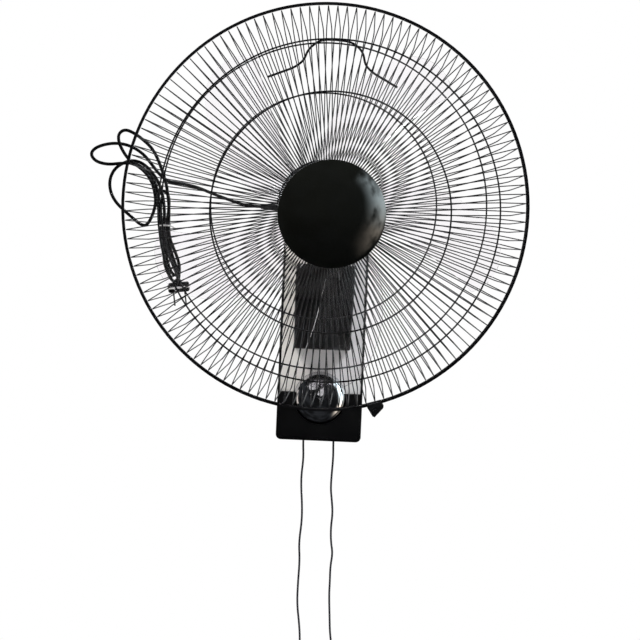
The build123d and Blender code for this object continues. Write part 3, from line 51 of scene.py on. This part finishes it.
def add(tree, kind, links=None, **settings):
    """Adds a node with its settings. A link is a value, a hex colour, a socket, or a node's first output."""
    node = tree.nodes.new(kind)
    for name, value in settings.items():
        setattr(node, name, value)
    for name, value in (links or {}).items():
        named = [s for s in node.inputs if s.enabled and s.name == name]
        socket = node.inputs[name] if isinstance(name, int) else named[0]
        if isinstance(value, bpy.types.Node):
            value = [s for s in value.outputs if s.enabled][0]
        if isinstance(value, bpy.types.NodeSocket):
            tree.links.new(value, socket)
        else:
            socket.default_value = srgb(value) if isinstance(value, str) else value
    return node


scene = bpy.context.scene
scene.view_settings.view_transform = "Standard"

PHOTO_PX = 640
FOCAL_PX = 1663.0
SENSOR_MM = 36.0
CAMERA_AT = Vector((-0.004, -2.110, 0.0165))
CAMERA_ROLL = math.radians(2.5)

camera = bpy.data.objects.new("camera", bpy.data.cameras.new("camera"))
scene.collection.objects.link(camera)
camera.data.sensor_width = SENSOR_MM
camera.data.lens = FOCAL_PX * SENSOR_MM / PHOTO_PX
upright = Matrix.Rotation(math.radians(90), 4, "X") @ Matrix.Rotation(CAMERA_ROLL, 4, "Z")
camera.matrix_world = Matrix.Translation(CAMERA_AT) @ upright
scene.camera = camera

# The window is a strip of the world seen only in reflections. Its edges are given by how far a direction lies
# towards the camera (1 is straight at it, 0 to the side) and by its angle round that axis, in radians (0 is
# to the right). Each edge is soft between its two numbers.
WINDOW_INNER, WINDOW_OUTER = (0.10, 0.66), (0.0, 0.10)
WINDOW_BOTTOM, WINDOW_TOP = (-1.05, -0.2), (0.70, 0.95)
WINDOW_STRENGTH = 12.0
ROOM_DARK, ROOM_PALE, BEHIND_FAN = "#151617", "#303235", "#dadcde"
DAYLIGHT_LOW, DAYLIGHT_HIGH = "#8f877c", "#cad9dd"
AMBIENT = "#76787a"
PANE_SCALE, PATCH_SCALE = 3.4, 2.1  # how finely the window and the room are broken up

world = bpy.data.worlds.new("studio")
scene.world = world
world.use_nodes = True
sky = world.node_tree
sky.nodes.clear()
rays = add(sky, "ShaderNodeLightPath")
way = add(sky, "ShaderNodeTexCoord").outputs["Generated"]
split = add(sky, "ShaderNodeSeparateXYZ", {"Vector": way})
ahead = add(sky, "ShaderNodeMath", {0: split.outputs["Y"], 1: -1.0}, operation="MULTIPLY")
around = add(sky, "ShaderNodeMath", {0: split.outputs["Z"], 1: split.outputs["X"]}, operation="ARCTAN2")
window = add(sky, "ShaderNodeTexNoise", {"Vector": way, "Scale": PANE_SCALE, "Detail": 3.0}).outputs["Fac"]
ends = {"From Min": 0.25, "From Max": 0.6}
window = add(sky, "ShaderNodeMapRange", {"Value": window, **ends}, interpolation_type="SMOOTHSTEP")
for value, (low, high), falls in (
    (ahead, WINDOW_INNER, True),
    (ahead, WINDOW_OUTER, False),
    (around, WINDOW_BOTTOM, False),
    (around, WINDOW_TOP, True),
):
    ends = {"From Min": low, "From Max": high, "To Min": float(falls), "To Max": float(not falls)}
    edge = add(sky, "ShaderNodeMapRange", {"Value": value, **ends}, interpolation_type="SMOOTHSTEP")
    window = add(sky, "ShaderNodeMath", {0: window, 1: edge}, operation="MULTIPLY")
height = add(sky, "ShaderNodeMapRange", {"Value": split.outputs["Z"], "From Min": -0.35, "From Max": 0.25})
daylight = {"Factor": height, "A": DAYLIGHT_LOW, "B": DAYLIGHT_HIGH}
daylight = add(sky, "ShaderNodeMix", daylight, data_type="RGBA")
window = add(sky, "ShaderNodeMath", {0: window, 1: WINDOW_STRENGTH}, operation="MULTIPLY")
window = add(sky, "ShaderNodeVectorMath", {"Vector": daylight, "Scale": window}, operation="SCALE")
patches = add(sky, "ShaderNodeTexNoise", {"Vector": way, "Scale": PATCH_SCALE, "Detail": 2.0}).outputs["Fac"]
ends = {"From Min": 0.4, "From Max": 0.65}
patches = add(sky, "ShaderNodeMapRange", {"Value": patches, **ends}, interpolation_type="SMOOTHSTEP")
room = add(sky, "ShaderNodeMix", {"Factor": patches, "A": ROOM_DARK, "B": ROOM_PALE}, data_type="RGBA")
behind = add(sky, "ShaderNodeMapRange", {"Value": split.outputs["Y"], "From Min": 0.4, "From Max": 0.85})
room = add(sky, "ShaderNodeMix", {"Factor": behind, "A": room, "B": BEHIND_FAN}, data_type="RGBA")
room = add(sky, "ShaderNodeVectorMath", {0: room, 1: window}, operation="ADD")
unseen = {"Factor": rays.outputs["Is Glossy Ray"], "A": AMBIENT, "B": room}
unseen = add(sky, "ShaderNodeMix", unseen, data_type="RGBA")
seen = {0: rays.outputs["Is Camera Ray"], 1: rays.outputs["Is Transmission Ray"]}
seen = add(sky, "ShaderNodeMath", seen, operation="MAXIMUM")
shown = add(sky, "ShaderNodeMix", {"Factor": seen, "A": unseen, "B": "#ffffff"}, data_type="RGBA")
light = add(sky, "ShaderNodeBackground", {"Color": shown, "Strength": 1.0})
add(sky, "ShaderNodeOutputWorld", {"Surface": light})


def softbox(name, spot, target, size, watts, colour, mirrored=False):
    """A rectangular studio lamp aimed at a point. It shows in mirrors only where that is asked for."""
    lamp = bpy.data.lights.new(name, "AREA")
    lamp.shape = "RECTANGLE"
    lamp.size, lamp.size_y = size
    lamp.energy = watts
    lamp.color = srgb(colour)[:3]
    holder = bpy.data.objects.new(name, lamp)
    scene.collection.objects.link(holder)
    holder.visible_glossy = mirrored
    holder.visible_camera = False
    aim = (Vector(target) - Vector(spot)).to_track_quat("-Z", "Y")
    holder.matrix_world = Matrix.Translation(spot) @ aim.to_matrix().to_4x4()


# Two equal lamps stand high on both sides, the left one a little warmer, with a weaker one behind.
HIGH_SIDE, HIGH_FRONT, HIGH_UP, HIGH_WATTS = 1.2, -1.35, 1.75, 57.0
for side, across, colour in (("left", -HIGH_SIDE, "#fffaf4"), ("right", HIGH_SIDE, "#f4f8ff")):
    spot = (across, HIGH_FRONT, HIGH_UP)
    softbox(f"{side}_softbox", spot, (0, -0.1, 0.0), (0.6, 0.6), HIGH_WATTS, colour)
softbox("back_softbox", (-0.9, 1.0, 1.6), (0, -0.2, 0.1), (1.0, 1.0), 14.0, "#ffffff")
# A dim card, too weak to light anything, that the plated dome mirrors at its left edge.
softbox("left_card", (-0.48, -0.02, -0.09), (0, -0.055, -0.08), (0.22, 0.30), 0.16, "#fff4ea", mirrored=True)

# The floor keeps the fan's shadow near the middle and fades into the white world further out.
FLOOR_Z, FLOOR_HALF = -1.1, 2.9
FADE_FROM, FADE_TO = 1.2, 2.1
floor_mesh = bpy.data.meshes.new("studio_floor")
bm = bmesh.new()
bmesh.ops.create_grid(bm, x_segments=1, y_segments=1, size=FLOOR_HALF)
bmesh.ops.translate(bm, verts=bm.verts, vec=(0, 0, FLOOR_Z))
bm.to_mesh(floor_mesh)
bm.free()
studio_floor = bpy.data.objects.new("studio_floor", floor_mesh)
scene.collection.objects.link(studio_floor)
floor_paint = bpy.data.materials.new("pale matt floor paint")
floor_paint.use_nodes = True
tree = floor_paint.node_tree
tree.nodes.clear()
rays = add(tree, "ShaderNodeLightPath")
place = add(tree, "ShaderNodeTexCoord").outputs["Object"]
flat = add(tree, "ShaderNodeVectorMath", {0: place, 1: (1, 1, 0)}, operation="MULTIPLY")
reach = add(tree, "ShaderNodeVectorMath", {0: flat}, operation="LENGTH").outputs["Value"]
ends = {"From Min": FADE_FROM, "From Max": FADE_TO}
reach = add(tree, "ShaderNodeMapRange", {"Value": reach, **ends}, interpolation_type="SMOOTHSTEP")
matt = add(tree, "ShaderNodeBsdfDiffuse", {"Color": "#eeeeee"})
white = add(tree, "ShaderNodeEmission", {"Color": "#ffffff", "Strength": 1.0})
clear = add(tree, "ShaderNodeBsdfTransparent")
seen = {0: rays.outputs["Is Camera Ray"], 1: rays.outputs["Is Transmission Ray"]}
seen = add(tree, "ShaderNodeMath", seen, operation="MAXIMUM")
seen = add(tree, "ShaderNodeMath", {0: seen, 1: reach}, operation="MULTIPLY")
paint = add(tree, "ShaderNodeMixShader", {0: seen, 1: matt, 2: white})
paint = add(tree, "ShaderNodeMixShader", {0: rays.outputs["Is Glossy Ray"], 1: paint, 2: clear})
add(tree, "ShaderNodeOutputMaterial", {"Surface": paint})
floor_mesh.materials.append(floor_paint)

# ---- Mains lead
# A round two-core lead in a black vinyl sheath. It leaves the motor's strain relief and runs forward to the
# rear guard. There it is tied in a hank, with loops that stand out past the rim and the plug below.

MM = 0.001
TILT_AXIS = Vector((0, -147.0, 71.5)) * MM
TILT_DOWN = math.radians(6.8)
PAN_RIGHT = math.radians(3.6)
RIM_FROM_AXIS = Vector((-9.8, -124.0, 82.1)) * MM
NECK = Matrix.Translation(TILT_AXIS) @ Matrix.Rotation(TILT_DOWN, 4, "X")
HEAD = NECK @ Matrix.Rotation(PAN_RIGHT, 4, "Z") @ Matrix.Translation(RIM_FROM_AXIS)

LEAD_R = 1.8
LEAD_ROUTE = (
    (-70.0, 98.0, -4.8),
    (-85.0, 96.8, -5.0),
    (-106.3, 84.0, 1.8),
    (-128.4, 69.0, 10.0),
    (-142.0, 59.5, 15.6),
    (-155.7, 53.0, 19.0),
    (-171.0, 49.0, 21.0),
    (-175.9, 48.1, 21.6),
    (-185.0, 47.8, 28.0),
    (-194.6, 47.4, 39.5),
    (-204.5, 46.0, 51.5),
    (-220.0, 44.0, 60.5),
    (-238.0, 42.0, 62.5),
    (-256.0, 39.0, 57.5),
    (-263.0, 38.0, 49.5),
    (-257.0, 38.0, 41.0),
    (-243.0, 38.0, 38.0),
    (-228.0, 38.0, 40.3),
    (-213.0, 38.0, 41.0),
    (-200.5, 38.0, 33.8),
    (-191.0, 38.3, 22.0),
    (-186.9, 39.0, 10.0),
    (-184.2, 40.0, -5.0),
    (-183.4, 40.5, -20.0),
    (-183.4, 40.5, -34.0),
    (-181.0, 40.5, -49.0),
    (-177.8, 42.5, -62.0),
    (-177.2, 46.5, -70.5),
    (-173.6, 50.5, -81.0),
    (-166.5, 52.0, -93.0),
    (-158.8, 51.6, -85.5),
    (-165.6, 49.0, -70.0),
    (-171.4, 47.4, -54.0),
    (-174.6, 46.3, -40.0),
    (-176.0, 45.9, -27.0),
    (-174.6, 46.1, -12.0),
    (-174.0, 46.6, -1.0),
    (-175.6, 47.0, 7.0),
    (-180.4, 47.2, 11.8),
    (-186.4, 47.0, 7.6),
    (-187.8, 46.5, -3.0),
    (-183.6, 46.1, -14.0),
    (-181.0, 45.9, -27.0),
    (-180.9, 46.1, -38.0),
    (-179.6, 48.0, -49.0),
    (-176.4, 52.6, -60.0),
    (-173.4, 56.0, -72.5),
    (-167.6, 57.0, -85.0),
    (-160.4, 56.0, -83.0),
    (-160.4, 53.4, -73.0),
    (-163.6, 48.4, -62.0),
    (-167.6, 43.8, -52.5),
    (-171.6, 41.5, -43.5),
    (-173.7, 41.2, -33.0),
    (-173.8, 41.2, -20.0),
    (-174.1, 41.0, -5.0),
    (-176.0, 40.6, 9.0),
    (-178.6, 39.8, 22.0),
    (-182.5, 38.5, 33.0),
    (-187.2, 37.0, 45.0),
    (-193.6, 36.0, 57.0),
    (-203.0, 34.5, 66.0),
    (-214.9, 33.0, 74.3),
    (-225.0, 31.0, 78.0),
    (-231.8, 29.5, 73.0),
    (-231.5, 28.5, 64.0),
    (-226.0, 28.0, 53.0),
    (-218.5, 29.0, 43.5),
    (-204.0, 31.5, 34.5),
    (-194.8, 34.2, 23.5),
    (-190.4, 36.0, 11.0),
    (-188.6, 36.4, -2.0),
    (-191.0, 37.0, -13.0),
    (-194.2, 37.0, -21.5),
    (-198.8, 36.6, -28.4),
    (-205.6, 36.4, -26.8),
    (-213.5, 36.5, -20.2),
    (-223.8, 36.6, -12.0),
    (-233.5, 37.0, -3.0),
    (-239.6, 38.0, 8.0),
    (-241.0, 39.5, 21.0),
    (-236.7, 41.5, 32.4),
    (-228.5, 43.0, 39.5),
    (-217.5, 43.8, 44.0),
    (-206.0, 43.9, 41.8),
    (-196.0, 43.8, 33.5),
    (-188.0, 43.4, 23.0),
    (-182.6, 42.3, 11.0),
    (-179.4, 41.2, -5.0),
    (-178.6, 40.7, -20.0),
    (-178.6, 40.6, -34.0),
    (-176.0, 40.0, -49.0),
    (-171.8, 40.8, -62.0),
    (-166.6, 42.2, -73.5),
    (-162.3, 44.0, -82.0),
    (-161.6, 44.0, -87.0),
)


def cord_curve(name, points, radius):
    """A smooth round cord along control points given in metres."""
    line = bpy.data.curves.new(name, "CURVE")
    line.dimensions = "3D"
    line.bevel_depth = radius
    line.bevel_resolution = 4
    line.resolution_u = 8
    line.use_fill_caps = True
    spline = line.splines.new("NURBS")
    spline.points.add(len(points) - 1)
    for spot, place in zip(spline.points, points):
        spot.co = (*place, 1.0)
    spline.order_u = 3
    spline.use_endpoint_u = True
    piece = bpy.data.objects.new(name, line)
    scene.collection.objects.link(piece)
    return piece


WAVE = 0.314  # a wave texture of scale 1 repeats after this many metres
CLOUD_MM = 35.0  # how far apart the slow changes of colour and gloss lie


def finish(name, colours, grain_mm, relief_mm, rough, bands=None, **sockets):
    """A surface whose relief is a grain, or bands along an axis, with slow clouds in its gloss, and in its
    colour too unless bands colour it.
    """
    made = bpy.data.materials.new(name)
    made.use_nodes = True
    tree = made.node_tree
    tree.nodes.clear()
    place = add(tree, "ShaderNodeTexCoord").outputs["Object"]
    if bands:
        lines = {"Vector": place, "Scale": WAVE / (grain_mm * MM), "Distortion": 0.8, "Detail": 1.0}
        grain = add(tree, "ShaderNodeTexWave", lines, bands_direction=bands).outputs["Fac"]
    else:
        grains = {"Vector": place, "Scale": 1 / (grain_mm * MM), "Detail": 3.0}
        grain = add(tree, "ShaderNodeTexNoise", grains).outputs["Fac"]
    clouds = {"Vector": place, "Scale": 1 / (CLOUD_MM * MM), "Detail": 5.0}
    clouds = add(tree, "ShaderNodeTexNoise", clouds).outputs["Fac"]
    mottle = grain if bands else clouds
    spread = add(tree, "ShaderNodeMapRange", {"Value": mottle, "From Min": 0.35, "From Max": 0.65})
    tint = add(tree, "ShaderNodeMix", {"Factor": spread, "A": colours[0], "B": colours[1]}, data_type="RGBA")
    ends = {"From Min": 0.35, "From Max": 0.65, "To Min": rough[0], "To Max": rough[1]}
    gloss = add(tree, "ShaderNodeMapRange", {"Value": clouds, **ends})
    relief = add(tree, "ShaderNodeBump", {"Height": grain, "Distance": relief_mm * MM})
    links = {"Base Color": tint, "Roughness": gloss, "Normal": relief, **sockets}
    add(tree, "ShaderNodeOutputMaterial", {"Surface": add(tree, "ShaderNodeBsdfPrincipled", links)})
    return made


def dress(material, *names):
    """Gives CAD nodes a material."""
    for name in names:
        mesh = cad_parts[name].data
        mesh.materials.clear()
        mesh.materials.append(material)


# flexible PVC sheath: soft black with a dull sheen and slight waves from the extruder
SHEATH = finish("black PVC cable sheath", ("#070708", "#0c0c0d"), 1.2, 0.02, (0.4, 0.52))
lead = cord_curve("mains_cord", [HEAD @ (Vector(p) * MM) for p in LEAD_ROUTE], LEAD_R * MM)
lead.data.materials.append(SHEATH)
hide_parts("mains_lead", "lead_hank")
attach(lead, "head")
dress(SHEATH, "lead_gland")


def piece_from(bm, name, material, body, place=None, smooth=True):
    """Makes a bmesh an object that rides on a body, with its place in its mesh."""
    if place is not None:
        bmesh.ops.transform(bm, matrix=place, verts=bm.verts)
    mesh = bpy.data.meshes.new(name)
    bm.to_mesh(mesh)
    bm.free()
    mesh.materials.append(material)
    if smooth:
        mesh.shade_smooth()
        mesh.set_sharp_from_angle(angle=SHARP)
    piece = bpy.data.objects.new(name, mesh)
    scene.collection.objects.link(piece)
    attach(piece, body)
    return piece


SHARP = math.radians(40)

# The moulded plug: a round-shouldered grip with finger ribs, a tapered neck with rings that let it bend, and
# two flat nickelled pins. It hangs at the end of the hank, upside down.
PLUG_W, PLUG_T, PLUG_H, PLUG_NECK = 24.0, 10.0, 11.0, 4.0
PIN_PITCH, PIN_W, PIN_T, PIN_L = 12.7, 6.3, 1.5, 15.0
PLUG_RIB, PLUG_RIBS, RIB_FIRST, RIB_PITCH = 1.0, 3, 3.2, 2.4
PLUG_ROUND, PIN_ROUND = 2.4, 0.6
NECK_RINGS, NECK_STEP = (4.4, 3.9, 3.4, 3.0), 1.1
last, before = [Vector(p) for p in (LEAD_ROUTE[-1], LEAD_ROUTE[-2])]
up = (before - last).normalized()
side = Vector((1, 0, 0.14))
side = (side - up * side.dot(up)).normalized()
plug_turn = Matrix((side, up.cross(side), up)).transposed().to_4x4()
PLUG_AT = HEAD @ Matrix.Scale(MM, 4) @ Matrix.Translation(last) @ plug_turn

bm = bmesh.new()
bmesh.ops.create_cube(bm, size=1.0)
bmesh.ops.scale(bm, verts=bm.verts, vec=(PLUG_W, PLUG_T, PLUG_H))
bmesh.ops.translate(bm, verts=bm.verts, vec=(0, 0, -PLUG_NECK - PLUG_H / 2))
bmesh.ops.bevel(bm, geom=bm.edges, offset=PLUG_ROUND, segments=4, profile=0.5, material=-1, affect="EDGES")
for k in range(PLUG_RIBS):
    ring = bmesh.ops.create_cube(bm, size=1.0)["verts"]
    bmesh.ops.scale(bm, verts=ring, vec=(PLUG_W - 5.0, PLUG_T + 0.5, PLUG_RIB))
    bmesh.ops.translate(bm, verts=ring, vec=(0, 0, -PLUG_NECK - RIB_FIRST - RIB_PITCH * k))
for k, radius in enumerate(NECK_RINGS):
    cone = {"cap_ends": True, "segments": 24, "radius1": radius, "radius2": radius - 0.5, "depth": NECK_STEP}
    ring = bmesh.ops.create_cone(bm, **cone)["verts"]
    bmesh.ops.translate(bm, verts=ring, vec=(0, 0, -PLUG_NECK + NECK_STEP * (k + 0.5)))
plug = piece_from(bm, "plug_grip", SHEATH, "head", PLUG_AT)
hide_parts("mains_plug")

# nickel plated brass: smooth, warm pale metal with faint rubbing marks along the pins
brass = ("#cfc9bb", "#b9b3a4")
NICKEL = finish("nickel plated brass", brass, 0.5, 0.004, (0.16, 0.3), bands="Z", Metallic=1.0)
bm = bmesh.new()
for across in (-PIN_PITCH / 2, PIN_PITCH / 2):
    pin = bmesh.ops.create_cube(bm, size=1.0)["verts"]
    bmesh.ops.scale(bm, verts=pin, vec=(PIN_T, PIN_W, PIN_L))
    bmesh.ops.translate(bm, verts=pin, vec=(across, 0, -PLUG_NECK - PLUG_H - PIN_L / 2))
pin_end = -PLUG_NECK - PLUG_H - PIN_L
low = [e for e in bm.edges if all(v.co.z < pin_end + 0.1 for v in e.verts)]
bmesh.ops.bevel(bm, geom=low, offset=PIN_ROUND, segments=3, profile=0.5, material=-1, affect="EDGES")
pins = piece_from(bm, "plug_pins", NICKEL, "head", PLUG_AT)

# paper covered tie wire: white, matt, with the ridge of its wire core
TIE = finish("white paper covered tie wire", ("#e4e4e0", "#cfcfca"), 0.8, 0.05, (0.6, 0.75))
dress(TIE, "lead_ties")

# ---- Pull cords
# Two thin dark braided cords hang from the switches in the base box, each with a turned bell at its end, and
# keep the small waves of having been folded in the packing. The left one sets the speed, the right the swing.

PULL_R = 1.25
PULL_Y = -30.0
LEFT_PULL = (
    (-18.6, -100.0),
    (-18.6, -136.0),
    (-17.0, -156.8),
    (-18.8, -176.9),
    (-18.4, -194.0),
    (-16.4, -214.0),
    (-15.7, -235.6),
    (-18.3, -262.7),
    (-16.2, -284.5),
    (-17.3, -314.6),
    (-17.2, -339.6),
    (-13.4, -364.5),
    (-11.6, -384.5),
    (-11.6, -402.0),
)
RIGHT_PULL = (
    (19.2, -100.0),
    (19.2, -136.0),
    (20.1, -153.7),
    (19.0, -175.3),
    (18.6, -194.1),
    (20.5, -207.3),
    (22.4, -224.0),
    (20.8, -242.6),
    (21.8, -260.9),
    (24.5, -274.0),
    (22.3, -291.1),
    (22.6, -309.1),
    (22.3, -326.3),
    (24.2, -354.7),
    (25.2, -371.5),
    (27.4, -386.0),
    (27.4, -403.0),
)


# braided polyester: dark grey, dull, with the slant of the braid drawn as bands 1.6 mm apart
braid = ("#161618", "#3c3c42")
BRAID = finish("dark braided polyester cord", braid, 1.6, 0.12, (0.7, 0.85), bands="DIAGONAL")
# moulded nylon: satin black, slightly paler where fingers have rubbed it
KNOB = finish("black moulded nylon", ("#101011", "#1a1a1c"), 0.5, 0.012, (0.4, 0.55))

# The bell is turned: a flat top round the knot, a waist, a flared skirt with a bead, and a hollow below.
BELL_PROFILE = (
    (0.0, 0.0),
    (2.1, 0.0),
    (2.6, -0.5),
    (2.9, -3.0),
    (2.7, -5.0),
    (3.1, -9.0),
    (3.9, -14.0),
    (4.9, -19.0),
    (5.9, -23.0),
    (6.8, -25.2),
    (7.0, -26.0),
    (6.8, -26.8),
    (6.2, -27.2),
    (5.6, -28.0),
    (4.8, -28.0),
    (4.4, -25.0),
    (2.4, -18.0),
    (0.0, -17.0),
)
LATHE_STEPS = 48


def lathe(bm, profile, steps=LATHE_STEPS):
    """Turns a profile of (radius, height) points about the Z axis."""
    verts = [bm.verts.new((r, 0, z)) for r, z in profile]
    edges = [bm.edges.new(pair) for pair in zip(verts, verts[1:])]
    spun = {"geom": verts + edges, "cent": (0, 0, 0), "axis": (0, 0, 1), "angle": 2 * math.pi}
    bmesh.ops.spin(bm, steps=steps, use_merge=True, **spun)
    bmesh.ops.remove_doubles(bm, verts=bm.verts, dist=1e-4)
    bmesh.ops.recalc_face_normals(bm, faces=bm.faces)


for side, route, length in (("speed", LEFT_PULL, 0.302), ("swing", RIGHT_PULL, 0.303)):
    points = [Vector((x, PULL_Y, z)) * MM for x, z in route]
    pull = cord_curve(f"{side}_pull_line", points, PULL_R * MM)
    pull.data.materials.append(BRAID)
    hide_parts(f"{side}_pull_cord")
    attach(pull, f"{side}_pull")
    bm = bmesh.new()
    lathe(bm, BELL_PROFILE)
    hung = Matrix.Translation(points[-1]) @ Matrix.Scale(MM, 4)
    bell = piece_from(bm, f"{side}_bell", KNOB, f"{side}_pull", hung)
    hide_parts(f"{side}_pull_bell")

# ---- Base box
# A black box moulded in ABS hooks over a pressed steel plate that is screwed to the wall. Its front has a
# raised rim round a silver panel, with a black cover and a plated dome below, and vents in its underside.

# moulded ABS with a fine spark-eroded texture: black, satin, a little greyer where it catches the light
matt = {"Specular IOR Level": 0.4}
SHELL = finish("textured black ABS", ("#080809", "#0d0d0e"), 0.5, 0.014, (0.3, 0.4), **matt)
dress(SHELL, "base_housing", "lower_cover")

# silver lacquer on ABS: a very pale warm grey with a soft sheen and little of a metal's mirror
LACQUER = finish("silver lacquered ABS", ("#f3f1ee", "#ebe9e6"), 0.35, 0.006, (0.34, 0.42), Metallic=0.08)
dress(LACQUER, "fascia")

# chrome plated ABS: a mirror with the slight waviness of the moulding under it and a breath of dust
CHROME = finish("chrome plated ABS", ("#e2e2e4", "#cfcfd2"), 9.0, 0.05, (0.03, 0.08), Metallic=1.0)
dress(CHROME, "chrome_dome")

# zinc plated steel: cold pale grey, half bright, with fine rolling marks
ZINC = finish("zinc plated steel", ("#b5b8bc", "#aaadb1"), 0.6, 0.008, (0.3, 0.36), Metallic=1.0)
dress(ZINC, "wall_plate", "base_screws")

# ---- Switches and wiring
# Inside the box: two ceramic-white pull switches over the cords, a boxed capacitor and a row of terminals.
# The cords leave through black eyelets pressed into the underside.

# moulded nylon: ivory, matt, faintly mottled
CASING = finish("ivory moulded nylon", ("#d2cdbd", "#c4bfae"), 0.5, 0.01, (0.45, 0.55))
dress(CASING, "speed_switch", "swing_switch", "terminal_block")
dress(KNOB, "capacitor", "cord_eyelets")

# ---- Arm and tilt joint
# A black moulded cover hides a pressed steel yoke bolted to the base. The neck's knuckle sits between the
# yoke's cheeks on one bolt, and tilts when the fan is pushed up or down.

dress(SHELL, "arm_cover", "neck_knuckle")
dress(ZINC, "arm_bracket", "bracket_bolts", "tilt_bolt", "tilt_nut")

# ---- Swing joint
# The head turns on a ground steel post on a nylon washer. A small geared motor turns a crank, and a flat link
# from the neck makes the head swing left and right as the crank goes round.

# ground steel: bright, with fine turning marks round it
GROUND = finish("ground steel", ("#c4c5c8", "#aeb0b4"), 0.4, 0.006, (0.16, 0.26), Metallic=1.0, bands="Z")
dress(GROUND, "swing_post", "crank_shaft", "link_pin", "post_screw")
dress(ZINC, "swing_link", "swing_motor")
dress(CASING, "thrust_washer")
dress(KNOB, "crank_disc")

# die cast aluminium: dull pale grey with a sandy skin
ALLOY = finish("die cast aluminium", ("#b0b1b3", "#98999b"), 0.8, 0.05, (0.45, 0.6), Metallic=1.0)
dress(ALLOY, "swing_saddle")

# ---- Motor
# An induction motor between two die cast end frames, with a stack of steel laminations, copper windings and
# bronze bushes, under two black covers. The rear cover has slots for air and is held by two screws.

dress(ALLOY, "front_end_frame", "rear_end_frame")
# stacked steel laminations: grey-brown edges, drawn as lines 1 mm apart, twice as coarse as the sheets are
steel = ("#77736e", "#5b5854")
CORE = finish("stacked steel laminations", steel, 1.0, 0.05, (0.4, 0.6), bands="Y", Metallic=1.0)
dress(CORE, "stator_core", "rotor_core")
# enamelled copper wire: amber-red, glossy, laid side by side
amber = ("#a4541f", "#7d3a12")
COPPER = finish("enamelled copper wire", amber, 0.9, 0.12, (0.2, 0.35), bands="Y", Metallic=0.9)
dress(COPPER, "windings")
# sintered bronze: dull gold with oily pores
BRONZE = finish("sintered bronze", ("#a5803f", "#86642c"), 0.4, 0.02, (0.4, 0.5), Metallic=1.0)
dress(BRONZE, "shaft_bushes")
dress(GROUND, "rotor_shaft", "drive_pin")
dress(SHELL, "motor_front_cover", "motor_rear_cover")
dress(ZINC, "cover_screws")

# ---- Guard
# Each half of the guard is a ring of fine steel wires welded to a plate in the middle, to two rings and to a
# hoop at the rim, dipped in black coating. A U-shaped band clamps the two hoops, and a lug with a screw
# closes it.

# dip coated steel wire: glossy black with the coating's slight sags
COATED = finish("black coated steel wire", ("#0b0b0c", "#141416"), 1.4, 0.03, (0.24, 0.36))
guard = ("guard_wires", "guard_rings", "guard_plate")
dress(COATED, *[f"{half}_{name}" for half in ("front", "rear") for name in guard])
dress(COATED, "steady_wire", "rim_band")
dress(KNOB, "rim_clip", "guard_nut")
dress(COATED, "rim_screw")

# ---- Blades
# Five swept blades and their hub are moulded in one piece in clear AS plastic, pushed on the shaft over a
# cross pin and held by a black nut with a left hand thread.

# clear AS plastic: nearly colourless with a faint smoky lilac tint, and not quite smooth, so that what is
# behind it blurs a little; lamps shine through it. The real IOR is 1.57, and a lower one keeps it faint.
CLEAR = bpy.data.materials.new("clear AS plastic")
CLEAR.use_nodes = True
tree = CLEAR.node_tree
tree.nodes.clear()
place = add(tree, "ShaderNodeTexCoord").outputs["Object"]
waves = add(tree, "ShaderNodeTexNoise", {"Vector": place, "Scale": 1 / (14 * MM), "Detail": 2.0})
relief = add(tree, "ShaderNodeBump", {"Height": waves, "Distance": 0.06 * MM})
haze = add(tree, "ShaderNodeMapRange", {"Value": waves, "To Min": 0.03, "To Max": 0.08})
links = {"Base Color": "#fbf9fb", "Roughness": haze, "Normal": relief, "IOR": 1.2}
links |= {"Specular IOR Level": 0.3, "Transmission Weight": 1.0}
glass = add(tree, "ShaderNodeBsdfPrincipled", links)
lit = add(tree, "ShaderNodeBsdfTransparent", {"Color": "#efecf0"})
rays = add(tree, "ShaderNodeLightPath")
mix = add(tree, "ShaderNodeMixShader", {0: rays.outputs["Is Shadow Ray"], 1: glass, 2: lit})
add(tree, "ShaderNodeOutputMaterial", {"Surface": mix})
dress(CLEAR, "fan_blades")
dress(KNOB, "spinner_nut")

# ---- Cap
# A domed cap moulded in polished black ABS clips to the front guard's plate with three legs.

# polished ABS: deep black with a mirror gloss and the faint orange peel of the mould
POLISHED = finish("polished black ABS", ("#0c0d0b", "#10110f"), 7.0, 0.012, (0.05, 0.09))
dress(POLISHED, "hub_cap")
